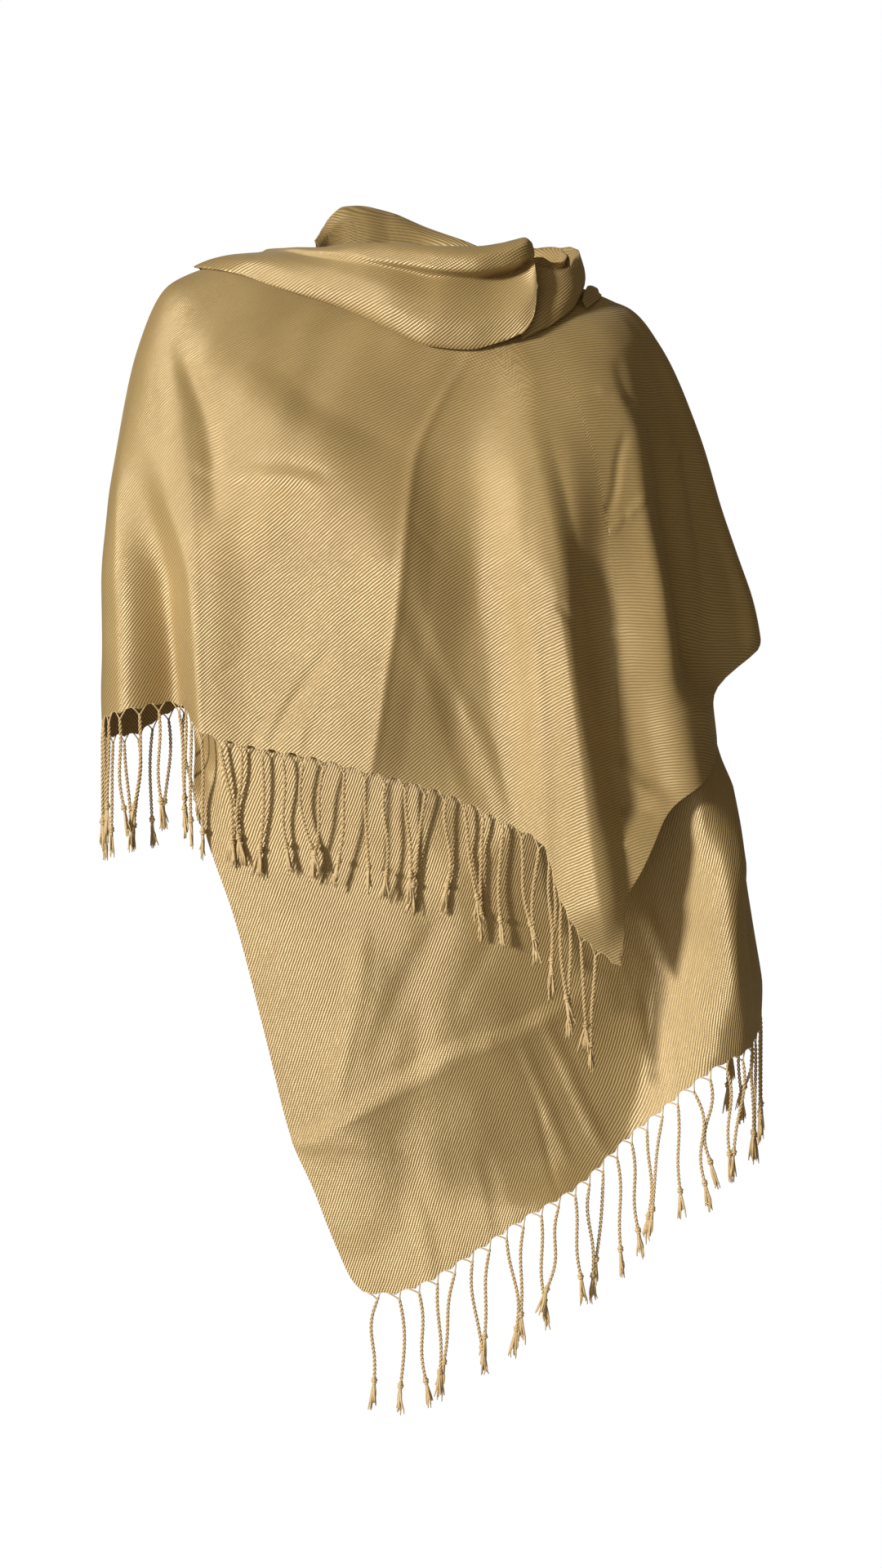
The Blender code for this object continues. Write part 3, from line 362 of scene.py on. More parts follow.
UNDER_CREASES = [
    Crease("packing crease", FRONT, SHARP, 4.8, 40, 10, PACKING_LINE),
    Crease("packing crease line", FRONT, SHARP, 1.5, 6, 5, PACKING_LINE),
    Crease("packing crease two", FRONT, SHARP, 1.6, 6, 8, (
        (-104, -735), (-90, -743), (-62, -742), (4, -754),
    )),
    Crease("left streak", FRONT, SOFT, 1.4, 16, 14, (
        (-36, -536), (-40, -580), (-47, -631), (-58, -682), (-66, -726),
    )),
    Crease("left hollow", FRONT, SOFT, -1.2, 14, 20, (
        (47, -522), (18, -566), (-12, -624), (-34, -690),
    )),
    Crease("middle hollow line", FRONT, SOFT, -0.8, 12, 12, ((91, -536), (66, -580), (39, -631))),
    Crease("streak one", FRONT, SOFT, 1.1, 8, 9, ((99, -640), (115, -677), (129, -713), (150, -770))),
    Crease("streak two", FRONT, SOFT, 1.5, 9, 10, ((120, -624), (142, -668), (161, -713), (182, -755))),
    Crease("streak three", FRONT, SHARP, -1.0, 6, 6, ((117, -697), (123, -726), (138, -792))),
    Crease("right streak one", FRONT, SOFT, 1.4, 8, 9, (
        (223, -580), (231, -624), (239, -668), (245, -704),
    )),
    Crease("right streak two", FRONT, SOFT, -1.2, 7, 8, ((212, -595), (220, -639), (228, -697))),
    Crease("side edge", FRONT, SHARP, 3.5, 12, 26, (
        (211, -522), (227, -561), (247, -594), (266, -628), (288, -668),
    )),
    Crease("side streak", FRONT, SOFT, 2.2, 12, 10, (
        (281, -412), (284, -478), (290, -551), (299, -639),
    )),
    Crease("near fold", FRONT, SHARP, 4.5, 16, 8, (
        (278, -369), (288, -420), (300, -488), (312, -566), (318, -646),
    )),
    Crease("hem swell", FRONT, SOFT, 0.9, 14, 12, ((4, -777), (18, -828), (26, -887))),
    Crease("hem swell two", FRONT, SOFT, -0.8, 10, 12, ((69, -741), (81, -792), (88, -843))),
    Crease("far crease", GIRTH, SOFT, -3.0, 12, 12, ((118, 320), (122, 420), (126, 600))),
    Crease("far crease two", GIRTH, SOFT, 3.0, 12, 12, ((132, 330), (136, 440), (139, 580))),
]
BACK_CREASES = [
    Crease("yoke crease", GIRTH, SOFT, -3.0, 14, 18, (
        (120, 60), (150, 92), (185, 108), (220, 96), (250, 70),
    )),
    Crease("yoke ridge", GIRTH, SOFT, 2.5, 12, 20, ((128, 96), (156, 136), (190, 150), (226, 136))),
    Crease("sweep one", GIRTH, SOFT, -2.4, 12, 14, ((136, 150), (165, 200), (200, 215), (240, 180))),
    Crease("sweep two", GIRTH, SOFT, 2.6, 12, 16, ((146, 230), (176, 272), (206, 276), (238, 240))),
    Crease("sweep three", GIRTH, SHARP, 2.0, 12, 8, ((152, 300), (180, 345), (204, 352), (226, 332))),
    Crease("fall one", GIRTH, SOFT, -2.6, 12, 10, ((156, 260), (158, 340), (160, 430))),
    Crease("fall two", GIRTH, SOFT, 2.4, 10, 12, ((208, 280), (210, 370), (213, 470))),
    Crease("packing line", GIRTH, SHARP, 2.2, 16, 10, (
        (110, 180), (140, 205), (170, 240), (196, 262), (222, 268),
    )),
]

NECK_FRONT = [
    Station(-143.7, 0.054, -0.0744, 0.0876, 0.050, 0.008, 0.005, 0.004, 0.008, 0.018),
    Station(-128, 0.047, -0.092, 0.064, 0.0525, 0.006, 0.004, 0.003, 0.009, 0.020),
    Station(-110, 0.041, -0.101, 0.034, 0.0535, 0.005, 0.003, 0.003, 0.011, 0.024),
    Station(-90, 0.041, -0.100, -0.005, 0.0530, 0.006, 0.003, 0.003, 0.014, 0.030),
    Station(-73, 0.029, -0.088, -0.032, 0.0545, 0.008, 0.003, 0.006, 0.016, 0.034),
    Station(-58, 0.018, -0.070, -0.050, 0.0560, 0.010, 0.003, 0.008, 0.018, 0.036),
    Station(-37, 0.010, -0.045, -0.068, 0.0590, 0.012, 0.004, 0.010, 0.020, 0.038),
    Station(-20, 0.013, -0.024, -0.077, 0.0590, 0.012, 0.004, 0.012, 0.022, 0.040, 0.002),
    Station(-7, 0.020, -0.002, -0.083, 0.0585, 0.011, 0.005, 0.014, 0.024, 0.040, 0.006),
    Station(14, 0.033, 0.032, -0.089, 0.0565, 0.009, 0.008, 0.016, 0.026, 0.040, 0.010),
    Station(30, 0.037, 0.062, -0.089, 0.0560, 0.007, 0.011, 0.016, 0.026, 0.040, 0.014),
    Station(41, 0.038, 0.083, -0.085, 0.0585, 0.005, 0.012, 0.014, 0.024, 0.038, 0.017, -0.001, 0.001),
    Station(47.5, 0.039, 0.098, -0.080, 0.0620, 0.004, 0.012, 0.008, 0.018, 0.032, 0.016, -0.005, 0.005),
    Station(51, 0.038, 0.1060, -0.076, 0.0640, 0.003, 0.011, 0.006, 0.014, 0.026, 0.012, -0.008, 0.016),
    Station(52.5, 0.036, 0.1105, -0.074, 0.0610, 0.002, 0.008, 0.004, 0.010, 0.020, 0.006, -0.008, 0.030),
    Station(53.2, 0.035, 0.1130, -0.073, 0.0555, 0.001, 0.004, 0.002, 0.006, 0.012, 0.001, -0.007, 0.040),
]
NECK_SIDE = [
    Station(50, 0.040, 0.098, -0.052, 0.0300, 0.003, 0.000, 0.003, 0.006, 0.014, 0.000, 0.003),
    Station(55, 0.038, 0.115, -0.062, 0.0400, 0.005, 0.000, 0.003, 0.007, 0.020, 0.000, 0.001),
    Station(62, 0.035, 0.132, -0.063, 0.0370, 0.005, 0.000, 0.004, 0.007, 0.020),
    Station(70, 0.029, 0.146, -0.055, 0.0385, 0.004, 0.000, 0.004, 0.008, 0.020),
    Station(80, 0.021, 0.1545, -0.035, 0.0480, 0.003, 0.000, 0.004, 0.008, 0.024),
    Station(92, 0.019, 0.1545, -0.003, 0.0560, 0.003, 0.000, 0.004, 0.009, 0.026),
    Station(105, 0.024, 0.147, 0.028, 0.0595, 0.005, 0.000, 0.004, 0.009, 0.028),
    Station(122, 0.034, 0.132, 0.060, 0.0600, 0.008, 0.004, 0.004, 0.008, 0.026),
    Station(140, 0.046, 0.106, 0.082, 0.0600, 0.009, 0.005, 0.005, 0.008, 0.022),
    Station(156, 0.054, 0.073, 0.097, 0.0590, 0.010, 0.005, 0.006, 0.0102, 0.020),
    Station(172, 0.058, 0.036, 0.105, 0.0570, 0.011, 0.006, 0.006, 0.0102, 0.018),
    Station(188, 0.061, -0.006, 0.107, 0.0550, 0.011, 0.006, 0.006, 0.0102, 0.018),
    Station(203, 0.059, -0.044, 0.101, 0.0520, 0.010, 0.005, 0.005, 0.0102, 0.018),
    Station(216.0, 0.054, -0.0736, 0.0884, 0.050, 0.008, 0.005, 0.004, 0.008, 0.018),
]
NECK_BACK = [
    Station(146, 0.016, 0.084, 0.066, 0.0520, 0.002, 0.000, 0.003, 0.010, 0.026, 0.000, 0.0033),
    Station(163, 0.019, 0.054, 0.081, 0.0660, 0.003, 0.000, 0.003, 0.013, 0.034, 0.000, -0.0007),
    Station(180, 0.019, 0.020, 0.088, 0.0790, 0.004, 0.000, 0.003, 0.015, 0.040, 0.000, -0.0007),
    Station(197, 0.018, -0.014, 0.087, 0.0925, 0.005, 0.000, 0.003, 0.017, 0.046, 0.000, 0.0003),
    Station(210, 0.016, -0.041, 0.080, 0.0980, 0.006, 0.000, 0.003, 0.018, 0.050, 0.000, 0.007),
    Station(217, 0.014, -0.054, 0.076, 0.0970, 0.005, 0.000, 0.003, 0.016, 0.048, 0.000, 0.010),
    Station(223, 0.012, -0.0635, 0.0715, 0.0910, 0.004, 0.000, 0.003, 0.012, 0.044, 0.000, 0.012),
    Station(229, 0.010, -0.0725, 0.0650, 0.0790, 0.003, 0.000, 0.003, 0.008, 0.036, 0.000, 0.014),
    Station(235, 0.010, -0.0805, 0.0550, 0.0660, 0.002, 0.000, 0.003, 0.006, 0.028, 0.000, 0.016),
]

FRONT_RIBS = RibMap(
    across=(-252, -226, -199, -170, -128, -84, -40, 4, 47, 91, 124, 153, 182, 212, 245, 281),
    rows=(
        (-4, (30, 26, 23, 20, 14, 12, 12, 12, 12, 12, 10, 5, 0, 0, 0, 0)),
        (-33, (45, 40, 30, 34, 20, 14, 10, 8, 4, 8, 8, 5, 1, 0, 0, 0)),
        (-62, (55, 52, 34, 29, 24, 20, 20, 20, 16, 16, 8, 4, -2, 2, 0, 0)),
        (-91, (56, 56, 40, 24, 42, 24, 20, 22, 20, 23, 14, 5, -15, -12, 0, 0)),
        (-120, (55, 55, 62, 27, 46, 44, 28, 28, 26, 29, 14, -2, -6, -12, -2, 0)),
        (-150, (56, 55, 66, 33, 46, 55, 42, 36, 32, 33, 25, -9, 0, -4, 1, 0)),
        (-208, (62, 60, 67, 36, 41, 48, 42, 42, 37, 38, 36, 0, 5, 4, -4, 3)),
        (-266, (66, 69, 59, 41, 41, 46, 43, 42, 39, 38, 36, 15, 9, 10, 7, 5)),
        (-339, (68, 69, 56, 44, 42, 44, 42, 38, 40, 36, 42, 22, 14, 14, 12, 8)),
        (-412, (68, 68, 60, 44, 42, 43, 41, 39, 43, 40, 32, 15, 20, 12, 8, 5)),
        (-485, (68, 68, 60, 44, 42, 43, 41, 39, 43, 38, 30, 20, 29, 25, 20, 20)),
        (-580, (68, 68, 60, 44, 42, 43, 41, 39, 43, 38, 32, 24, 28, 28, 25, 25)),
    ),
)
UNDER_RIBS = RibMap(
    across=(-142, -84, -26, 33, 91, 150, 193, 237, 296),
    rows=(
        (-442, (70, 73, 70, 69, 70, 76, 80, 86, 88)),
        (-529, (70, 71, 69, 67, 69, 74, 80, 85, 88)),
        (-617, (71, 71, 73, 69, 69, 76, 82, 86, 88)),
        (-704, (71, 72, 72, 72, 72, 66, 75, 86, 88)),
        (-792, (70, 70, 72, 75, 71, 66, 75, 86, 88)),
        (-880, (70, 70, 73, 77, 72, 66, 75, 86, 88)),
    ),
    pitch=0.87,
)
BACK_RIBS = RibMap(across=(0, 1), rows=((1, (45, 45)), (0, (45, 45))))
COWL_RIBS = RibMap(
    across=(-186, -157, -128, -99, -69, -40, -11, 18, 47, 77, 106, 135),
    rows=(
        (64, (20, 20, 20, 22, 26, 22, 14, 10, 10, 6, 2, 0)),
        (47, (25, 30, 34, 34, 28, 24, 16, 10, 10, 7, 4, 0)),
        (36, (30, 45, 47, 42, 38, 27, 25, 20, 30, 38, 34, 30)),
        (22, (30, 35, 40, 42, 40, 34, 34, 39, 33, 36, 34, 30)),
        (-7, (30, 35, 38, 38, 36, 34, 34, 36, 38, 39, 36, 30)),
        (-29, (30, 35, 38, 38, 36, 34, 34, 34, 37, 38, 36, 30)),
    ),
)
SIDE_RIBS = RibMap(
    across=(106, 120, 135, 150, 164),
    rows=((55, (10, 20, 30, 35, 35)), (22, (28, 28, 31, 37, 40)), (-11, (30, 30, 34, 30, 36))),
    elsewhere=30.0,
)
RISE_RIBS = RibMap(across=(0, 1), rows=((1, (-58, -58)), (0, (-58, -58))), elsewhere=-50.0, pitch=0.62)

RIM_ANGLE = 62  # an edge sharper than this many degrees is shown sharp

# The neck folds
NECK_STANDOFF = 0.0035  # between the middles of a fold's edge and of the panel below it
TURNED_UNDER = 0.003  # how far an edge turns in, at most
TURN_OF_TUCK = 0.3  # and as a share of the station's tuck
TOP_TURN = (0.6, 0.2)  # how far in and down the turn at the top has gone at its middle
CALM_EDGES = 6  # a fold's unevenness is full from a sixth of its width inside its edges
LEAST_UNEVENNESS = 0.15  # and keeps this share of it at the edges
# Each row: the share of the way up, and there the shares of the station's belly, groove and roll
NECK_SWELLS = [
    (0.20, 0.85, 0.00, 0.00),
    (0.42, 1.00, 0.20, 0.00),
    (0.60, 0.80, 0.60, 0.00),
    (0.70, 0.65, 0.95, 0.00),
    (0.728, 0.60, 0.80, 0.40),
    (0.745, 0.55, 0.25, 0.85),
    (0.87, 0.35, 0.00, 1.00),
]

# The upper edge of the inner roll, from front to back
INNER_ROLL_EDGE = [
    (0.110, -0.040, 0.047),
    (0.121, -0.032, 0.0485),
    (0.132, -0.021, 0.044),
    (0.140, -0.008, 0.045),
    (0.1445, 0.009, 0.051),
    (0.1395, 0.0267, 0.056),
]
PLEAT_ROOT = Place(72, 0.036)
PLEAT_TIP = Place(92, 0.031)
# The pleat's height along it, as shares of its length and of its full height
PLEAT_OUTLINE = [(0.0, 0.56), (0.25, 0.93), (0.45, 1.0), (0.7, 0.80), (1.0, 0.30)]

# The cords of the fringes
HEM_STEP = 0.003  # the hem's direction is taken over this far to each side
LEG_POINTS = 7
LEG_JOINS = 5  # a leg runs into its cord at this point of the cord's path
ANY_TURN = 6.28  # radians, for a start anywhere round a cord
PLIES_PART = 0.10  # the plies part over this share of a cord
PLIES_AT_TOP = (0.55, 0.45)  # the share of their offset that they start with, and the rest of it
DRIFT_BEND = 1.15  # above 1, a cord leaves its root straighter down than it ends
LEAST_FALL = 0.25  # of its squared length, however far it leans
KNOT_TURNS = 2.3
KNOT_SWELL = (0.45, 0.55)  # the winding's reach at its ends, and what its middle adds
KNOT_YARN = 1.45  # the wound yarn's radius, in radii of a ply
KNOT_CORE_REACH = (-0.2, 1.15)  # where the core starts and ends, in heights of the knot
KNOT_CORE = (1.6, 2.0, 2.5, 2.7, 2.7, 2.5, 2.2, 1.8)  # its radii along it, in radii of a ply
BRUSH_TAPER = (1.0, 1.05, 1.0, 0.95, 0.9, 0.8, 0.66, 0.42)  # a loose yarn's radii along it
BRUSH_HANG = (0.7, 0.3)  # the share of it that runs on along the cord, and that hangs straight down
BRUSH_BEND = 0.8
BRUSH_WAVE = (3, 7)  # radians from its start to its end
BRUSH_START = (0, 6)


def table_slopes(knots: Array, values: Array) -> Array:
    """Slopes at a table's rows that keep a curve through them from swinging past them.

    Args:
        knots: where the rows stand.
        values: the rows.

    Returns:
        One slope for each row.
    """
    gaps = np.diff(knots).reshape((-1,) + (1,) * (values.ndim - 1))
    rises = np.diff(values, axis=0) / gaps
    before, after = rises[:-1], rises[1:]
    turns = before * after <= 0
    total = np.where(turns, 1.0, before + after)
    inside = np.where(turns, 0.0, 2 * before * after / total)
    return np.concatenate([rises[:1], inside, rises[-1:]])


def smooth_value(knots: Any, values: Any, at: Any) -> Array:
    """Values between rows of a table, on a smooth curve through them.

    Args:
        knots: where the rows stand, rising.
        values: the rows, numbers or points.
        at: where values are wanted.

    Returns:
        The values there.
    """
    knots = np.asarray(knots, dtype=float)
    values = np.asarray(values, dtype=float)
    at = np.clip(np.asarray(at, dtype=float), knots[0], knots[-1])
    slopes = table_slopes(knots, values)
    cell = np.clip(np.searchsorted(knots, at, side="right") - 1, 0, len(knots) - 2)
    width = knots[cell + 1] - knots[cell]
    t = (at - knots[cell]) / width
    if values.ndim > 1:
        t, width = t[..., None], width[..., None]
    rise = t * t * (3 - 2 * t)
    start_pull = t * (1 - t) * (1 - t) * width
    end_pull = -t * t * (1 - t) * width
    return (
        values[cell] * (1 - rise)
        + values[cell + 1] * rise
        + slopes[cell] * start_pull
        + slopes[cell + 1] * end_pull
    )


def smooth_step(low: float, high: float, at: Array) -> Array:
    """0 below low, 1 above high and an even rise between."""
    t = np.clip((at - low) / (high - low), 0, 1)
    return t * t * (3 - 2 * t)


def hump(distance: Array) -> Array:
    """A soft ridge: 1 in the middle and 0 from a distance of 1."""
    return np.clip(1 - distance * distance, 0, 1) ** 2


def unit(vectors: Array) -> Array:
    """The vectors at a length of 1."""
    return vectors / np.maximum(np.linalg.norm(vectors, axis=-1, keepdims=True), TINY)


def way_along(points: Array) -> Array:
    """Metres along a line of points, from its first."""
    steps = np.linalg.norm(np.diff(points, axis=0), axis=-1)
    return np.concatenate([[0.0], np.cumsum(steps)])


def grid_normals(points: Array) -> Array:
    """Outward normals of a grid of points that runs round and then up."""
    return unit(np.cross(np.gradient(points, axis=0), np.gradient(points, axis=1)))


class Figure:
    """The general figure that the cloth lies over: rings round a vertical axis."""

    def __init__(self) -> None:
        """Measures the distance round the figure at the chest."""
        self.azimuths = np.arange(-180.0, 361.0, 1.0)
        ring = self.point(self.azimuths, np.full_like(self.azimuths, CHEST_DROP))
        around = way_along(ring)
        self.around = around - np.interp(0.0, self.azimuths, around)

    def reach(self, column: str, drop: Array) -> Array:
        """One column of the figure's table at any drop.

        Args:
            column: the column's name.
            drop: metres down the figure.

        Returns:
            The column's value there.
        """
        rows = [getattr(level, column) for level in LEVELS]
        return smooth_value([level.drop for level in LEVELS], rows, drop)

    def point(self, azimuth: Array, drop: Array) -> Array:
        """The bare figure's surface.

        Args:
            azimuth: degrees round from the front.
            drop: metres down the figure.

        Returns:
            The points there.
        """
        angle = np.radians(azimuth)
        sideways, forwards = np.sin(angle), np.cos(angle)
        left, front = sideways < 0, forwards > 0
        reach_x = np.where(left, self.reach("left_x", drop), self.reach("right_x", drop))
        reach_y = np.where(front, self.reach("front_y", drop), self.reach("back_y", drop))
        square = np.where(front, self.reach("front_square", drop), BACK_SQUARE)
        side = np.abs(sideways / reach_x) ** square
        face = np.abs(forwards / reach_y) ** square
        radius = (side + face) ** (-1 / square)
        side = side / (side + face)
        side_z = np.where(left, self.reach("left_z", drop), self.reach("right_z", drop))
        face_z = np.where(front, self.reach("front_z", drop), self.reach("back_z", drop))
        height = side_z * side + face_z * (1 - side)
        return np.stack([radius * sideways, -radius * forwards, height], axis=-1)

    def normal(self, azimuth: Array, drop: Array) -> Array:
        """The bare figure's outward normals.

        Args:
            azimuth: degrees round from the front.
            drop: metres down the figure.

        Returns:
            The normals there.
        """
        turn, step = 0.5, 0.002
        drop = np.maximum(drop, step)
        around = self.point(azimuth + turn, drop) - self.point(azimuth - turn, drop)
        down = self.point(azimuth, drop + step) - self.point(azimuth, drop - step)
        return unit(np.cross(down, around))

    def raised(self, azimuth: Array, drop: Array, lift: Array) -> Array:
        """Points above the bare figure.

        Args:
            azimuth: degrees round from the front.
            drop: metres down the figure.
            lift: metres above it.

        Returns:
            The points.
        """
        return self.point(azimuth, drop) + self.normal(azimuth, drop) * lift[..., None]

    def around_of(self, azimuth: Any) -> Array:
        """Metres round the figure from the front, for an azimuth."""
        return np.interp(azimuth, self.azimuths, self.around)

    def azimuth_of(self, around: Any) -> Array:
        """The azimuth, for metres round the figure from the front."""
        return np.interp(around, self.around, self.azimuths)

    def relief(self, azimuth: Array, drop: Array, folds: list[Fold]) -> Array:
        """How far the folds lift a panel off the figure.

        Args:
            azimuth: degrees round from the front.
            drop: metres down the figure.
            folds: the folds that fall down the panel.

        Returns:
            The height of the panel's middle surface.
        """
        around = self.around_of(azimuth)
        total = np.zeros_like(around)
        for fold in folds:
            stops = [fold.top_drop, fold.mid_drop, fold.low_drop]
            line = self.around_of([fold.top_azimuth, fold.mid_azimuth, fold.low_azimuth])
            offset = around - smooth_value(stops, line, drop)
            width = np.where(offset < 0, fold.left_width, fold.right_width)
            knots = [stops[0] - FADE, *stops, stops[-1] + FADE]
            heights = [0.0, fold.top_height, fold.mid_height, fold.low_height, 0.0]
            total = total + smooth_value(knots, heights, drop) * hump(offset / width)
        return total

    def lowest_relief(self, azimuth: Array, drop: Array, folds: list[Fold]) -> Array:
        """The lowest relief of an outer layer near a place, which the layer inside stays below.

        Args:
            azimuth: degrees round from the front.
            drop: metres down the figure.
            folds: the outer layer's folds.

        Returns:
            The lowest height near each place.
        """
        around = self.around_of(azimuth)
        near = [
            self.relief(self.azimuth_of(around + share * REACH_OF_RELIEF), drop, folds)
            for share in (-1.0, -0.5, 0.0, 0.5, 1.0)
        ]
        return np.min(near, axis=0)

    def edge_curve(self, places: list[Place], shares: Array) -> Array:
        """Points at even shares of the way along an edge.

        Args:
            places: the edge's places.
            shares: how far along, from 0 to 1.

        Returns:
            Metres round and metres down.
        """
        rows = np.array([(self.around_of(place.azimuth), place.drop) for place in places])
        way = way_along(rows)
        return smooth_value(way / way[-1], rows, shares)


@dataclass(frozen=True)
class FrontView:
    """The view from the front, which the camera has and in which front creases are measured."""

    distance: float = 5.0
    elevation: float = 3.5
    aim: tuple[float, float, float] = (0.0328, 0.0, -0.4197)
    picture_height: float = 1.4015
    film: float = 36.0

    @property
    def back(self) -> Array:
        """The direction from the object to the camera."""
        angle = math.radians(self.elevation)
        return np.array([0.0, -math.cos(angle), math.sin(angle)])

    @property
    def up(self) -> Array:
        """The picture's upward direction."""
        angle = math.radians(self.elevation)
        return np.array([0.0, math.sin(angle), math.cos(angle)])

    def seen(self, points: Array) -> Array:
        """Where points appear, in the plane through the aim.

        Args:
            points: points in the row frame.

        Returns:
            Millimetres across and up, in the picture's plane.
        """
        aim = np.array(self.aim)
        offset = points - aim
        scale = self.distance / (self.distance - offset @ self.back)
        across = aim[0] + offset[..., 0] * scale
        height = aim[2] + (offset @ self.up) * scale
        return np.stack([across, height], axis=-1) / MILLIMETRE


@dataclass
class Creasing:
    """Works out how far a list of creases lifts a panel."""

    figure: Figure
    view: FrontView
    end_fade: float = 0.2
    sharpness: float = 1.4

    def charts(self, azimuth: Array, drop: Array, points: Array) -> dict[Chart, Array]:
        """The panel's points in each chart.

        Args:
            azimuth: degrees round from the front.
            drop: metres down the figure.
            points: the panel's points.

        Returns:
            The points' coordinates in millimetres, by chart.
        """
        round_mm = self.figure.around_of(azimuth) / MILLIMETRE
        girth = np.stack([round_mm, drop / MILLIMETRE], axis=-1)
        return {Chart.FRONT: self.view.seen(points), Chart.GIRTH: girth}

    def one(self, crease: Crease, places: Array) -> Array:
        """The lift of one crease.

        Args:
            crease: the crease.
            places: coordinates in the crease's chart, in millimetres.

        Returns:
            The lift in metres.
        """
        line = np.array(crease.line, dtype=float)
        if crease.chart is Chart.GIRTH:
            line[:, 0] = self.figure.around_of(line[:, 0]) / MILLIMETRE
        way = way_along(line)
        line = smooth_value(way, line, np.linspace(0, way[-1], POINTS_A_KNOT * len(line)))
        way = way_along(line)
        best = np.full(places.shape[:-1], np.inf)
        side = np.zeros_like(best)
        gone = np.zeros_like(best)
        for start, end, before in zip(line[:-1], line[1:], way[:-1]):
            step = end - start
            length = np.linalg.norm(step)
            offset = places - start
            share = np.clip(offset @ step / length**2, 0, 1)
            gap = np.linalg.norm(offset - share[..., None] * step, axis=-1)
            nearer = gap < best
            cross = step[0] * offset[..., 1] - step[1] * offset[..., 0]
            best = np.where(nearer, gap, best)
            side = np.where(nearer, cross, side)
            gone = np.where(nearer, before + share * length, gone)
        width = np.where(side > 0, crease.right, crease.left)
        distance = best / width
        if crease.profile is Profile.SOFT:
            section = hump(distance)
        else:
            section = np.clip(1 - distance, 0, 1) ** self.sharpness
        share = gone / way[-1]
        ends = smooth_step(0, self.end_fade, share) * smooth_step(0, self.end_fade, 1 - share)
        return crease.height * MILLIMETRE * section * ends

    def lift(self, creases: list[Crease], azimuth: Array, drop: Array, points: Array) -> Array:
        """The lift of all the creases together.

        Args:
            creases: the creases.
            azimuth: degrees round from the front.
            drop: metres down the figure.
            points: the panel's points.

        Returns:
            The lift in metres.
        """
        charts = self.charts(azimuth, drop, points)
        faces_front = smooth_step(*FRONT_HALF, -points[..., 1])
        total = np.zeros(points.shape[:-1])
        for crease in creases:
            lift = self.one(crease, charts[crease.chart])
            if crease.chart is Chart.FRONT:
                lift = lift * faces_front
            total += lift
        return total


@dataclass
class Undulation:
    """The slight unevenness of cloth that hangs: a few dozen long, low waves."""

    seed: int
    height: float = 0.0004
    shortest: float = 0.035
    longest: float = 0.13
    waves: int = 26
    slant: float = 0.75

    def lift(self, around: Array, drop: Array) -> Array:
        """The lift at places on the figure.

        Args:
            around: metres round from the front.
            drop: metres down.

        Returns:
            The lift in metres.
        """
        chance = random.Random(self.seed)
        total = np.zeros(np.broadcast(around, drop).shape)
        for _ in range(self.waves):
            length = chance.uniform(self.shortest, self.longest)
            turn = chance.gauss(0.0, self.slant)
            phase = chance.uniform(0, 2 * math.pi)
            run = around * math.cos(turn) + drop * math.sin(turn)
            share = length / self.longest
            total += share * np.sin(2 * math.pi * run / length + phase)
        return total * self.height / math.sqrt(self.waves / 4)


